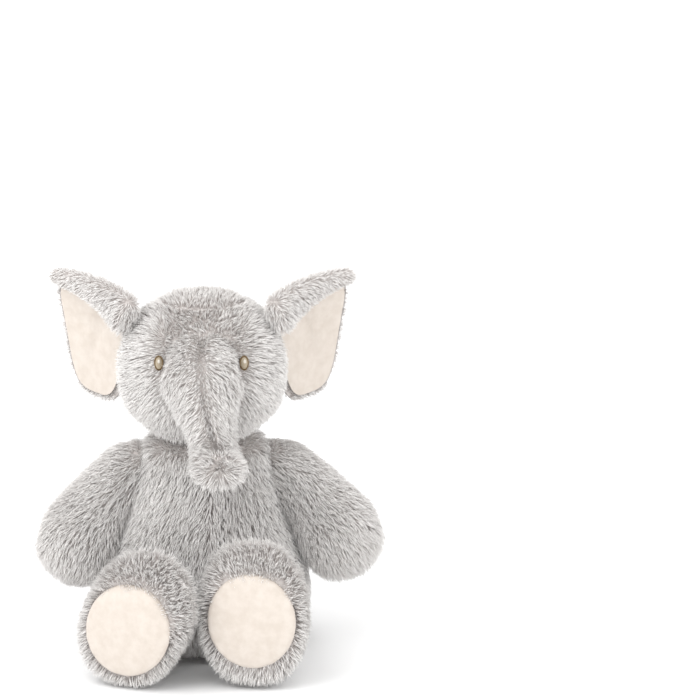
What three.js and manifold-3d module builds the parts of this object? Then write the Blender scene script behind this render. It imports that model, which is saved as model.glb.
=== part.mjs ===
// A seated stuffed elephant: plush panels, fibre filling, velour ears and foot pads.
// Millimetres, +Z up, the elephant faces -Y. Left and right are the elephant's own, so left is +X.
import * as THREE from 'three';
import { mergeVertices } from 'three/addons/utils/BufferGeometryUtils.js';
import Module from 'manifold-3d';

const wasm = await Module();
wasm.setup();

// ---- Driving dimensions ----

// Fabric and fits
const PLUSH = 4;                 // backing with its pile pressed flat
const VELOUR = 2;                // ear lining
const SEAM_GAP = 0.4;            // between two panels that are sewn together
const FILL_GAP = 1.2;            // between a panel and the filling behind it
const JOINT_GAP = 1.2;           // round a limb where it turns in its neighbour

// Body
const BODY_WIDTH = 186;
const BODY_DEPTH = 164;
const BODY_HEIGHT = 206;         // floor to the top of the neck plug
const BODY_BACK = 5;             // the seat lies behind the origin
const BODY_LEAN = 15;            // the neck lies this far in front of the seat
const SEAT_WIDTH = 0.63 * BODY_WIDTH;
const SEAT_DEPTH = 0.585 * BODY_DEPTH;
const PELLET_BAG = { width: 0.52 * BODY_WIDTH, depth: 0.475 * BODY_DEPTH, height: 26 };

// Head
const HEAD_WIDTH = 150;
const HEAD_DEPTH = 122;
const HEAD_HEIGHT = 138;
const HEAD_ABOVE_NECK = HEAD_HEIGHT / 2 - 9;  // neck pivot to the middle of the head
const HEAD_AHEAD = 8;            // the middle of the head lies in front of the neck
const HEAD_ASIDE = -3;           // the head sits a little towards the elephant's right
const GUSSET_WIDTH = 64;
const NECK_BELOW_TOP = 6;        // neck pivot below the top of the neck plug
const NECK_SOCKET = 50;          // radius of the round hollow in the head
const NECK_PLUG = 46.5;          // radius that the neck plug stays inside
const NECK_THREAD = 1.6;         // thickness of the closing stitches
const EYE = { width: 12, height: 15, thick: 3, apart: 0.5 * HEAD_WIDTH, above: 15 };

// Trunk
const TRUNK_WIDTH = 76;          // at the cheeks
const TRUNK_TIP_WIDTH = 52;
const TRUNK_DROP = 72;           // middle of the head to the middle of the tip
const TRUNK_REACH = 90;          // middle of the head to the front of the tip
const TRUNK_LEAN = 19;           // the tip hangs towards the elephant's left

// Ears
const EAR_LENGTH = 77;           // root to outer edge, half way up
const EAR_FLARE = 18;            // how much longer it is at the top than half way up
const EAR_HEIGHT = 112;
const EAR_THICK = 6;
const EAR_OUT = 71;              // hinge to the outer edge, half way up
const EAR_SWEEP = 40;            // degrees back from straight out
const EAR_ROLL = 11;             // half the thickness of the folded top edge at the head
const EAR_FOLD = 17;             // half its height at the head

// Arms
const ARM_LENGTH = 156;
const ARM_THICK = 66;            // at the paw
const ARM_SHOULDER_WIDTH = 50;
const SHOULDER_UP = BODY_HEIGHT - 43;
const SHOULDER_APART = 0.56 * BODY_WIDTH;
const ARM_HANG = { left: 45, right: 40 };     // degrees out from straight down
const ARM_TAPER = 8;             // degrees that an arm's inner side lies nearer the body

// Legs
const LEG_LENGTH = 84;           // hip to sole
const LEG_THICK = 60;
const FOOT_WIDTH = 98;
const FOOT_HEIGHT = 134;
const HIP_APART = 1.02 * FOOT_WIDTH;
const HIP_AHEAD = 0.42 * BODY_DEPTH;
const PAD_WIDTH = 0.8 * FOOT_WIDTH;
const PAD_HEIGHT = 0.65 * FOOT_HEIGHT;
const PAD_DROP = { left: 4, right: 9 };       // middle of the pad below the middle of the foot
const LEG_SPLAY = { left: -7, right: 22 };    // degrees outwards
const FOOT_ROLL = { left: 0, right: -28 };    // degrees, the toes lean outwards

// Tail
const TAIL_LENGTH = 56;
const TAIL_THICK = 11;
const TUFT_THICK = 19;
const TAIL_UP = 58;
const TAIL_SUNK = 9;             // the root starts this far inside the rearmost line of the body

// How far a joint turns, in degrees, where a neighbour has to leave room, with a little to spare
const TURN = { trunk: [-30, 8], ear: [-22, 22], leg: [-20, 0], tail: [-32, 32] };

// ---- Places that follow from the sizes ----

const NECK = new THREE.Vector3(
  HEAD_ASIDE, BODY_BACK - BODY_LEAN, BODY_HEIGHT - NECK_BELOW_TOP);
const HEAD_MIDDLE = new THREE.Vector3(0, -HEAD_AHEAD, HEAD_ABOVE_NECK);
const TRUNK_PIVOT = new THREE.Vector3(0, HEAD_MIDDLE.y - 30, HEAD_MIDDLE.z + 4);
const SIDES = { left: 1, right: -1 };
const X = new THREE.Vector3(1, 0, 0);
const Y = new THREE.Vector3(0, 1, 0);
const Z = new THREE.Vector3(0, 0, 1);
const BIG = 1000;
const MERGE = 1e-3;              // mm: corners nearer than this are one corner
const SMALLEST_EDGE = 0.02;      // mm: shorter edges are closed up
const CRUMB = 5;                 // mm3: a cut can leave crumbs that are no piece of cloth

// ---- Solids ----

// The same surface with only its positions, and each shared corner once.
function joined(geometry) {
  const bare = geometry.clone();
  bare.deleteAttribute('normal');
  bare.deleteAttribute('uv');
  return mergeVertices(bare, MERGE);
}

function solidOf(geometry) {
  const merged = joined(geometry);
  return new wasm.Manifold(new wasm.Mesh({
    numProp: 3,
    vertProperties: new Float32Array(merged.attributes.position.array),
    triVerts: new Uint32Array(merged.index.array),
    tolerance: SMALLEST_EDGE,
  }));
}

function geometryOf(solid) {
  const mesh = solid.getMesh();
  const geometry = new THREE.BufferGeometry();
  const places = new THREE.BufferAttribute(new Float32Array(mesh.vertProperties), 3);
  geometry.setAttribute('position', places);
  geometry.setIndex(new THREE.BufferAttribute(new Uint32Array(mesh.triVerts), 1));
  return geometry;
}

function block(low, high) {
  const geometry = new THREE.BoxGeometry(high[0] - low[0], high[1] - low[1], high[2] - low[2]);
  geometry.translate((low[0] + high[0]) / 2, (low[1] + high[1]) / 2, (low[2] + high[2]) / 2);
  return solidOf(geometry);
}

function ball(radius, middle, around) {
  const geometry = new THREE.SphereGeometry(radius, around, around / 2);
  geometry.translate(middle.x, middle.y, middle.z);
  return solidOf(geometry);
}

// A flat round prism along Y, oval in XZ, from y = back to y = front.
function ovalPrism(width, height, middle, back, front) {
  const outline = new THREE.Shape().absellipse(0, 0, width / 2, height / 2, 0, 2 * Math.PI);
  const geometry = new THREE.ExtrudeGeometry(outline, {
    depth: back - front,
    bevelEnabled: false,
    curveSegments: 12,
  });
  geometry.rotateX(Math.PI / 2);
  geometry.translate(middle.x, back, middle.z);
  return solidOf(geometry);
}

// ---- Stuffed forms ----

// A closed round form along a centre line. Each station gives its middle, its half width along
// `side` and its half depth across it; domes of the given lengths close both ends. The rings lie
// square to the line, or to `facing` where that is given.
function stuffedForm({ stations, side, domes, around, steps, facing, roll = () => 0 }) {
  const line = new THREE.CatmullRomCurve3(stations.map((s) => new THREE.Vector3(...s.at)));
  const sizes = new THREE.CatmullRomCurve3(
    stations.map((s) => new THREE.Vector3(s.half, s.deep, 0)));
  const rings = [];
  const ends = [0, 1];
  const square = 2.2;
  const directionAt = (u) => facing ?? line.getTangent(u);
  const domeSteps = 3;
  const body = (stations.length - 1) * steps;
  const ringAt = (u, along, shrink) => {
    const tangent = directionAt(u);
    const middle = line.getPoint(u).addScaledVector(tangent, along);
    const size = sizes.getPoint(u).multiplyScalar(shrink);
    const across = side.clone().addScaledVector(tangent, -side.dot(tangent)).normalize();
    across.applyAxisAngle(tangent, roll(u));
    const deep = tangent.clone().cross(across);
    rings.push({ middle, across, deep, size });
  };
  for (let i = domeSteps - 1; i > 0; i -= 1) {
    const a = (i / domeSteps) * Math.PI / 2;
    ringAt(0, -domes[0] * Math.sin(a), Math.cos(a));
  }
  for (let i = 0; i <= body; i += 1) ringAt(i / body, 0, 1);
  for (let i = 1; i < domeSteps; i += 1) {
    const a = (i / domeSteps) * Math.PI / 2;
    ringAt(1, domes[1] * Math.sin(a), Math.cos(a));
  }
  const tips = ends.map((u) => line.getPoint(u).addScaledVector(
    directionAt(u), u === 0 ? -domes[0] : domes[1]));
  return ringedGeometry(rings, tips, around, square);
}

function roundedPower(value, square) {
  return Math.sign(value) * Math.abs(value) ** (2 / square);
}

function ringedGeometry(rings, tips, around, square) {
  const places = [tips[0].x, tips[0].y, tips[0].z];
  for (const { middle, across, deep, size } of rings) {
    for (let k = 0; k < around; k += 1) {
      const a = (k / around) * 2 * Math.PI;
      const p = middle.clone()
        .addScaledVector(across, size.x * roundedPower(Math.cos(a), square))
        .addScaledVector(deep, size.y * roundedPower(Math.sin(a), square));
      places.push(p.x, p.y, p.z);
    }
  }
  places.push(tips[1].x, tips[1].y, tips[1].z);
  const faces = [];
  const last = 1 + rings.length * around;
  for (let k = 0; k < around; k += 1) {
    const next = (k + 1) % around;
    faces.push(0, 1 + next, 1 + k);
    for (let r = 0; r < rings.length - 1; r += 1) {
      const a = 1 + r * around;
      const b = a + around;
      faces.push(a + k, a + next, b + next, a + k, b + next, b + k);
    }
    const end = last - around;
    faces.push(last, end + k, end + next);
  }
  const geometry = new THREE.BufferGeometry();
  geometry.setAttribute('position', new THREE.Float32BufferAttribute(places, 3));
  geometry.setIndex(faces);
  return geometry;
}

// Moves a closed form's surface inwards along its normals, or outwards for a negative distance.
function inset(geometry, distance) {
  const moved = joined(geometry);
  moved.computeVertexNormals();
  const place = moved.attributes.position;
  const normal = moved.attributes.normal;
  for (let i = 0; i < place.count; i += 1) {
    place.setXYZ(
      i,
      place.getX(i) - distance * normal.getX(i),
      place.getY(i) - distance * normal.getY(i),
      place.getZ(i) - distance * normal.getZ(i),
    );
  }
  moved.deleteAttribute('normal');
  return moved;
}

// A thin rounded piece: its outline is a function of the angle, its thickness is in the middle.
function pebble(outline, thickness, around = 24, rings = 10) {
  const geometry = new THREE.SphereGeometry(1, around, rings);
  const place = geometry.attributes.position;
  for (let i = 0; i < place.count; i += 1) {
    const across = Math.hypot(place.getX(i), place.getZ(i));
    const angle = Math.atan2(place.getZ(i), place.getX(i));
    const [u, w] = outline(angle);
    place.setXYZ(i, u * across, place.getY(i) * thickness / 2, w * across);
  }
  return geometry;
}

function turned(solid, axis, pivot, degrees) {
  const m = new THREE.Matrix4().makeTranslation(pivot.x, pivot.y, pivot.z)
    .multiply(new THREE.Matrix4().makeRotationAxis(axis, THREE.MathUtils.degToRad(degrees)))
    .multiply(new THREE.Matrix4().makeTranslation(-pivot.x, -pivot.y, -pivot.z));
  return solid.transform(m.elements);
}

// Everything that a solid passes through as it turns from one angle to the other.
function swept(solid, axis, pivot, [from, to], step = 6) {
  let all = turned(solid, axis, pivot, from);
  for (let angle = from + step; angle < to + step; angle += step) {
    all = all.add(turned(solid, axis, pivot, Math.min(angle, to)));
  }
  return all;
}

function placed(solid, position, turnDegrees = 0) {
  const m = new THREE.Matrix4().makeTranslation(position.x, position.y, position.z)
    .multiply(new THREE.Matrix4().makeRotationZ(THREE.MathUtils.degToRad(turnDegrees)));
  return solid.transform(m.elements);
}

// A hollow skin with walls of the plush's thickness.
function skinOf(geometry) {
  return solidOf(geometry).subtract(solidOf(inset(geometry, PLUSH)));
}

function fillingOf(geometry) {
  return solidOf(inset(geometry, PLUSH + FILL_GAP));
}

// ---- Materials ----

function plush() {
  return new THREE.MeshStandardMaterial({ color: 0xb9b4b1, roughness: 0.95, metalness: 0 });
}

function velour() {
  return new THREE.MeshStandardMaterial({ color: 0xeadfd2, roughness: 0.9, metalness: 0 });
}

function thread() {
  return new THREE.MeshStandardMaterial({ color: 0xa39a8a, roughness: 0.6, metalness: 0 });
}

function fibre() {
  return new THREE.MeshStandardMaterial({ color: 0xf4f2ee, roughness: 1, metalness: 0 });
}

// ---- Collecting the nodes ----

const elephant = new THREE.Group();

function node(name, solid, material, parent = elephant) {
  const pieces = solidOf(geometryOf(solid)).decompose();
  const whole = pieces.filter((piece) => piece.volume() > CRUMB)
    .reduce((all, piece) => all.add(piece));
  const mesh = new THREE.Mesh(geometryOf(whole), material);
  mesh.name = name;
  parent.add(mesh);
}

// ---- Head ----

// Sizes of the head from the neck up: share of the height, share of the half width and depth.
const HEAD_PROFILE = [
  [0.06, 0.50], [0.22, 0.83], [0.42, 0.99], [0.62, 0.985], [0.80, 0.84], [0.93, 0.53],
];

function headForm(around = 22, steps = 1) {
  const low = HEAD_MIDDLE.z - HEAD_HEIGHT / 2;
  const stations = HEAD_PROFILE.map(([up, wide]) => ({
    at: [HEAD_MIDDLE.x, HEAD_MIDDLE.y, low + up * HEAD_HEIGHT],
    half: wide * HEAD_WIDTH / 2,
    deep: wide * HEAD_DEPTH / 2,
  }));
  const domes = [0.06 * HEAD_HEIGHT, 0.07 * HEAD_HEIGHT];
  return stuffedForm({ stations, side: X, domes, around, steps });
}

function trunkForm(around = 14, steps = 1) {
  const { y, z } = HEAD_MIDDLE;
  const cheek = TRUNK_WIDTH / 2;
  const tip = TRUNK_TIP_WIDTH / 2;
  const front = y - TRUNK_REACH;
  const end = z - TRUNK_DROP;
  const stations = [
    { at: [0, TRUNK_PIVOT.y + 2, z + 12], half: 0.82 * cheek, deep: 23 },
    { at: [0, y - 47, z - 2], half: cheek, deep: 29 },
    { at: [0.25 * TRUNK_LEAN, y - 60, z - 27], half: 0.8 * cheek, deep: 25 },
    { at: [0.6 * TRUNK_LEAN, y - 64, end + 21], half: 0.92 * tip, deep: 21 },
    { at: [0.85 * TRUNK_LEAN, y - 71, end + 4], half: tip, deep: 21 },
    { at: [TRUNK_LEAN, front + 10, end], half: 0.9 * tip, deep: 20 },
  ];
  return stuffedForm({ stations, side: X, domes: [20, 10], around, steps });
}

// Where an eye lies: on the head's own surface, straight behind its place in the front view.
function eyePlace(side, head, out) {
  const from = new THREE.Vector3(side * EYE.apart / 2, -BIG, HEAD_MIDDLE.z + EYE.above);
  const [hit] = new THREE.Raycaster(from, Y).intersectObject(new THREE.Mesh(head));
  return { place: hit.point.addScaledVector(hit.face.normal, out), normal: hit.face.normal };
}

function eyeSolid(side, head) {
  const oval = (a) => [EYE.width / 2 * Math.cos(a), EYE.height / 2 * Math.sin(a)];
  const { place, normal } = eyePlace(side, head, 0.5 * EYE.thick);
  const facing = new THREE.Quaternion().setFromUnitVectors(new THREE.Vector3(0, -1, 0), normal);
  const m = new THREE.Matrix4().compose(place, facing, new THREE.Vector3(1, 1, 1));
  return solidOf(pebble(oval, EYE.thick, 16, 6)).transform(m.elements);
}

function addHead(group) {
  const outer = headForm();
  const trunkRoom = swept(
    solidOf(inset(trunkForm(10, 1), -2 * JOINT_GAP)), X, TRUNK_PIVOT, TURN.trunk, 20);
  const socket = ball(NECK_SOCKET, new THREE.Vector3(0, 0, 0), 20);
  const skin = skinOf(outer).subtract(trunkRoom).subtract(socket);
  const half = GUSSET_WIDTH / 2;
  const outside = half + SEAM_GAP;
  const gap = SEAM_GAP / 2;
  // The side panels meet under the chin, where the gusset stops.
  const chin = (edge, low, high) => block(
    [low, -BIG, -BIG], [high, HEAD_MIDDLE.y - edge, HEAD_MIDDLE.z]);
  const strip = block([-half, -BIG, -BIG], [half, BIG, BIG]).subtract(chin(0, -BIG, BIG));
  const left = block([outside, -BIG, -BIG], [BIG, BIG, BIG]).add(chin(SEAM_GAP, gap, outside + 1));
  const right = block([-BIG, -BIG, -BIG], [-outside, BIG, BIG]).add(chin(SEAM_GAP, -outside - 1, -gap));
  node('head_gusset', skin.intersect(strip), plush(), group);
  node('head_side_left', skin.intersect(left), plush(), group);
  node('head_side_right', skin.intersect(right), plush(), group);
  const filling = fillingOf(headForm(12)).subtract(trunkRoom).subtract(socket);
  node('head_filling', filling, fibre(), group);
  const clear = solidOf(inset(outer, -SEAM_GAP)).add(trunkRoom);
  for (const [name, side] of Object.entries(SIDES)) {
    node(`eye_${name}`, eyeSolid(side, outer).subtract(clear), thread(), group);
  }
  addTrunk(group);
  for (const [name, side] of Object.entries(SIDES)) addEar(group, name, side, clear);
}

function addTrunk(group) {
  const skin = skinOf(trunkForm());
  const gap = SEAM_GAP / 2;
  node('trunk_left', skin.intersect(block([gap, -BIG, -BIG], [BIG, BIG, BIG])), plush(), group);
  node('trunk_right', skin.intersect(block([-BIG, -BIG, -BIG], [-gap, BIG, BIG])), plush(), group);
  node('trunk_filling', fillingOf(trunkForm(10, 1)), fibre(), group);
}

// ---- Ears ----

const EAR_HINGE = { out: 0.47 * HEAD_WIDTH, back: 4, up: 16 };
const EAR_MIDDLE = 40;           // hinge to the point that the ear's outline is drawn round

// The outline from the head outwards, a rounded D that is wider at the top and rises outwards.
function earOutline(angle, edge) {
  const up = roundedPower(Math.sin(angle), 3.6);
  const outer = EAR_OUT - EAR_MIDDLE + 0.36 * EAR_FLARE * up - edge;
  const inner = EAR_OUT - EAR_MIDDLE - EAR_LENGTH - 0.64 * EAR_FLARE * up + edge;
  const u = inner + (outer - inner) * (1 + roundedPower(Math.cos(angle), 3.6)) / 2;
  return [u, (EAR_HEIGHT / 2 - edge) * up + earRise(u)];
}

function earRise(u) {
  return 0.1 * u;
}

// How far back the ear lies: its middle behind its edges, and its top leaning forward.
function earCup(u, w) {
  return 9 * (1 - 0.5 * u * u - 0.5 * w * w) - 5 * w;
}

function cupped(geometry, forward) {
  const place = geometry.attributes.position;
  for (let i = 0; i < place.count; i += 1) {
    const u = place.getX(i) / EAR_MIDDLE;
    const w = place.getZ(i) / (EAR_HEIGHT / 2);
    place.setY(i, place.getY(i) + earCup(u, w) - forward);
  }
  return geometry;
}

function earRoll() {
  const top = EAR_HEIGHT / 2 - 4;
  const line = [[-0.76, 0.88], [-0.42, 0.97], [0, 1], [0.38, 0.96]];
  const stations = line.map(([along, up], i) => {
    const u = along * EAR_LENGTH;
    const half = EAR_ROLL * (1 - 0.14 * i);
    const deep = EAR_FOLD * (1 - 0.19 * i);
    const y = earCup(u / EAR_MIDDLE, up) - 0.5 * EAR_ROLL;
    return { at: [u, y, up * top + earRise(u) + half - deep], half, deep };
  });
  return stuffedForm({ stations, side: Y, domes: [6, 5], around: 10, steps: 1 });
}

function addEar(group, name, side, headClear) {
  const sweep = THREE.MathUtils.degToRad(EAR_SWEEP);
  const hinge = new THREE.Vector3(
    side * EAR_HINGE.out, HEAD_MIDDLE.y + EAR_HINGE.back, HEAD_MIDDLE.z + EAR_HINGE.up);
  const toHead = (solid) => {
    const m = new THREE.Matrix4().makeTranslation(hinge.x, hinge.y, hinge.z);
    m.multiply(new THREE.Matrix4().makeRotationZ(side * sweep));
    m.multiply(new THREE.Matrix4().makeTranslation(side * EAR_MIDDLE, 0, 0));
    const right = side > 0 ? solid : solid.scale([-1, 1, 1]);
    return right.transform(m.elements);
  };
  const headPath = swept(headClear, Z, hinge, TURN.ear, 22);
  const front = VELOUR / 2 + EAR_THICK / 2 + SEAM_GAP;
  const back = cupped(pebble((a) => earOutline(a, 0), EAR_THICK, 24, 6), 0);
  const lining = cupped(pebble((a) => earOutline(a, 6), VELOUR, 20, 6), front);
  const backSolid = solidOf(back).add(solidOf(earRoll()));
  const liningSolid = solidOf(lining).subtract(solidOf(inset(earRoll(), -SEAM_GAP)));
  node(`ear_${name}_back`, toHead(backSolid).subtract(headPath), plush(), group);
  node(`ear_${name}_lining`, toHead(liningSolid).subtract(headPath), velour(), group);
}

// ---- Arms ----

function armForm(around = 14, steps = 1) {
  const paw = ARM_THICK / 2;
  const long = ARM_LENGTH - 60;
  const stations = [
    { at: [0, 0, 0], half: 0.9 * ARM_SHOULDER_WIDTH / 2, deep: 26 },
    { at: [7, 0, -0.22 * long], half: 0.56 * ARM_SHOULDER_WIDTH, deep: 29 },
    { at: [9, -2, -0.55 * long], half: 0.92 * paw, deep: 0.97 * paw },
    { at: [7, -5, -0.85 * long], half: paw, deep: 1.08 * paw },
    { at: [3, -8, -1.05 * long], half: 0.93 * paw, deep: 1.02 * paw },
  ].reverse();
  return stuffedForm({ stations, side: X, domes: [29, 20], around, steps });
}

function addArm(name, side) {
  const shoulder = new THREE.Vector3(side * SHOULDER_APART / 2, NECK.y + 6, SHOULDER_UP);
  const hang = THREE.MathUtils.degToRad(-side * ARM_HANG[name]);
  const place = new THREE.Matrix4().makeTranslation(shoulder.x, shoulder.y, shoulder.z)
    .multiply(new THREE.Matrix4().makeRotationY(hang));
  const outwards = (solid) => (side > 0 ? solid : solid.scale([-1, 1, 1]));
  const put = (solid) => outwards(solid).transform(place.elements);
  const skin = skinOf(armForm());
  const seam = 6;
  const gap = SEAM_GAP / 2;
  const outer = skin.intersect(block([seam + gap, -BIG, -BIG], [BIG, BIG, BIG]));
  const inner = skin.intersect(block([-BIG, -BIG, -BIG], [seam - gap, BIG, BIG]));
  node(`arm_${name}_outer`, put(outer), plush());
  node(`arm_${name}_inner`, put(inner), plush());
  node(`arm_${name}_filling`, put(fillingOf(armForm(10, 1))), fibre());
  return shoulderRoom(side, shoulder, THREE.MathUtils.degToRad(ARM_HANG[name]));
}

// The round hollow that an arm turns in: a ball at the shoulder that opens into a cone.
function shoulderRoom(side, shoulder, hang) {
  const radius = ARM_SHOULDER_WIDTH / 2 + 5 + JOINT_GAP;
  const lean = hang - THREE.MathUtils.degToRad(ARM_TAPER);
  const points = [];
  const arcSteps = 4;
  for (let i = 0; i <= arcSteps; i += 1) {
    const a = (i / arcSteps) * (Math.PI / 2 - lean);
    points.push(new THREE.Vector2(radius * Math.sin(a), -radius * Math.cos(a)));
  }
  const edge = points[arcSteps];
  const reach = ARM_LENGTH;
  points.push(new THREE.Vector2(edge.x + reach * Math.cos(lean), edge.y + reach * Math.sin(lean)));
  points.push(new THREE.Vector2(0, edge.y + reach * Math.sin(lean)));
  const room = new THREE.LatheGeometry(points, 20);
  room.rotateZ(-side * Math.PI / 2);
  return solidOf(room).translate(shoulder.x, shoulder.y, shoulder.z);
}

// ---- Legs ----

function legForm(roll, around = 16, steps = 1) {
  const rise = FOOT_HEIGHT / 2 - LEG_THICK / 2;
  const foot = { half: FOOT_WIDTH / 2, deep: FOOT_HEIGHT / 2 };
  const at = (share, up) => [
    -Math.sin(roll) * up * rise, -share * LEG_LENGTH, Math.cos(roll) * up * rise];
  const stations = [
    { at: at(0, 0), half: 0.53 * LEG_THICK, deep: 0.49 * LEG_THICK },
    { at: at(0.25, 0), half: 0.57 * LEG_THICK, deep: 0.5 * LEG_THICK },
    { at: at(0.47, 0.4), half: 0.8 * foot.half, deep: 0.7 * foot.deep },
    { at: at(0.66, 0.93), half: 0.98 * foot.half, deep: 0.97 * foot.deep },
    { at: at(0.83, 1), half: foot.half, deep: foot.deep },
    { at: at(0.93, 1), half: 0.9 * foot.half, deep: 0.9 * foot.deep },
  ];
  const turn = (u) => roll * Math.min(1, 2 * u);
  const domes = [27, 0.07 * LEG_LENGTH];
  const facing = Y.clone().negate();
  return stuffedForm({ stations, side: X, domes, around, steps, facing, roll: turn });
}

function addLeg(name, side, floor) {
  const roll = THREE.MathUtils.degToRad(-side * FOOT_ROLL[name]);
  const turn = side * LEG_SPLAY[name];
  const hip = new THREE.Vector3(side * HIP_APART / 2, BODY_BACK - HIP_AHEAD, LEG_THICK / 2 + 1);
  const put = (solid) => placed(solid, hip, turn);
  const outer = legForm(roll);
  const skin = skinOf(outer);
  const rise = FOOT_HEIGHT / 2 - LEG_THICK / 2 - PAD_DROP[name];
  const middle = new THREE.Vector3(-Math.sin(roll) * rise, 0, Math.cos(roll) * rise);
  const padArea = (edge) => {
    const oval = ovalPrism(PAD_WIDTH + edge, PAD_HEIGHT + edge, new THREE.Vector3(),
      -0.6 * LEG_LENGTH, -2 * LEG_LENGTH);
    return turned(oval, Y, new THREE.Vector3(), THREE.MathUtils.radToDeg(-roll)).translate(
      middle.x, 0, middle.z);
  };
  const gap = SEAM_GAP / 2;
  const cover = skin.subtract(padArea(2 * SEAM_GAP));
  const halves = [
    block([gap, -BIG, -BIG], [BIG, BIG, BIG]), block([-BIG, -BIG, -BIG], [-gap, BIG, BIG])];
  const [outside, inside] = side > 0 ? halves : halves.reverse();
  const filling = fillingOf(legForm(roll, 10, 1));
  node(`leg_${name}_outer`, put(cover.intersect(outside)).subtract(floor), plush());
  node(`leg_${name}_inner`, put(cover.intersect(inside)).subtract(floor), plush());
  node(`pad_${name}`, put(skin.intersect(padArea(0))).subtract(floor), velour());
  node(`leg_${name}_filling`, put(filling).subtract(floor), fibre());
  return put(hipRoom());
}

// The hollow that a thigh turns in: a ball at the hip, and a slot that widens upwards in front.
function hipRoom() {
  const radius = 0.57 * LEG_THICK + JOINT_GAP;
  const lift = THREE.MathUtils.degToRad(-TURN.leg[0]);
  const front = LEG_LENGTH;
  const wide = radius + 0.8;  // both legs lift straight up, whichever way they point
  const top = [radius * Math.sin(lift), radius * Math.cos(lift)];
  const slot = new THREE.Shape([
    new THREE.Vector2(0, -radius),
    new THREE.Vector2(front, -radius),
    new THREE.Vector2(front, top[1] + (front + top[0]) * Math.tan(lift)),
    new THREE.Vector2(-top[0], top[1]),
  ]);
  const geometry = new THREE.ExtrudeGeometry(slot, { depth: 2 * wide, bevelEnabled: false });
  geometry.translate(0, 0, -wide);
  geometry.applyMatrix4(new THREE.Matrix4().makeBasis(Y.clone().negate(), Z, X.clone().negate()));
  return solidOf(geometry).add(ball(radius, new THREE.Vector3(), 14));
}

// ---- Body ----

// Sizes of the body from the floor up: share of the height, half width and half depth.
const BODY_PROFILE = [
  [-0.05, 0.66, 0.68], [0.02, 0.83, 0.85], [0.11, 0.95, 0.97], [0.22, 1.0, 1.0],
  [0.36, 0.965, 0.95], [0.5, 0.87, 0.86], [0.63, 0.76, 0.75], [0.76, 0.66, 0.65],
  [0.88, 0.56, 0.57],
];

function bodyForm(around = 24, steps = 1) {
  const stations = BODY_PROFILE.map(([up, wide, deep]) => ({
    at: [0, BODY_BACK - BODY_LEAN * up, up * BODY_HEIGHT],
    half: wide * BODY_WIDTH / 2,
    deep: deep * BODY_DEPTH / 2,
  }));
  const domes = [8, 0.12 * BODY_HEIGHT];
  const facing = Z;
  return stuffedForm({ stations, side: X, domes, around, steps, facing });
}

function addBody(limbRoom) {
  const outer = bodyForm();
  const floor = block([-BIG, -BIG, -BIG], [BIG, BIG, 0]);
  const wallTop = block([-BIG, -BIG, -BIG], [BIG, BIG, PLUSH]);
  const inner = solidOf(inset(outer, PLUSH)).subtract(wallTop);
  const plug = ball(NECK_PLUG, NECK, 20);
  const neckRoom = block([-BIG, -BIG, NECK.z - 12], [BIG, BIG, BIG]).subtract(plug);
  const taken = floor.add(limbRoom).add(neckRoom);
  const skin = solidOf(outer).subtract(inner).subtract(taken);
  const seat = (edge, low, high) => {
    const oval = ovalPrism(SEAT_WIDTH + edge, SEAT_DEPTH + edge, new THREE.Vector3(), high, low);
    return turned(oval, X, new THREE.Vector3(), 90).translate(0, BODY_BACK, 0);
  };
  const cover = skin.subtract(seat(2 * SEAM_GAP, -1, PLUSH + 1));
  const gap = SEAM_GAP / 2;
  const quarters = {
    front_left: [[gap, -BIG, -BIG], [BIG, -gap, BIG]],
    front_right: [[-BIG, -BIG, -BIG], [-gap, -gap, BIG]],
    back_left: [[gap, gap, -BIG], [BIG, BIG, BIG]],
    back_right: [[-BIG, gap, -BIG], [-gap, BIG, BIG]],
  };
  for (const [name, [low, high]] of Object.entries(quarters)) {
    node(`body_${name}`, cover.intersect(block(low, high)), plush());
  }
  node('body_seat', seat(0, 0, PLUSH), plush());
  const bagOval = (a) => [PELLET_BAG.width / 2 * Math.cos(a), PELLET_BAG.depth / 2 * Math.sin(a)];
  const bag = pebble(bagOval, PELLET_BAG.height, 16, 6).rotateX(Math.PI / 2);
  const bagUp = PLUSH + FILL_GAP + PELLET_BAG.height / 2;
  const put = (solid) => solid.translate(0, BODY_BACK, bagUp);
  const seatRoom = block([-BIG, -BIG, -BIG], [BIG, BIG, PLUSH + FILL_GAP]);
  const filling = fillingOf(bodyForm(14, 1)).subtract(seatRoom.add(taken))
    .subtract(put(solidOf(inset(bag, -FILL_GAP))));
  node('body_filling', filling, fibre());
  node('pellet_bag', put(solidOf(bag)), fibre());
}

function addNeckSeam() {
  const ringRadius = (NECK_SOCKET + NECK_PLUG) / 2;
  const up = 4;
  const around = Math.sqrt(ringRadius ** 2 - up ** 2);
  const points = [];
  const sides = 6;
  for (let i = 0; i <= sides; i += 1) {
    const a = (i / sides) * 2 * Math.PI;
    points.push(new THREE.Vector2(
      around + NECK_THREAD / 2 * Math.cos(a), NECK_THREAD / 2 * Math.sin(a)));
  }
  const ring = new THREE.LatheGeometry(points, 24);
  ring.rotateX(Math.PI / 2);
  node('neck_seam', solidOf(ring).translate(NECK.x, NECK.y, NECK.z - up), thread());
}

// ---- Tail ----

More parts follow.
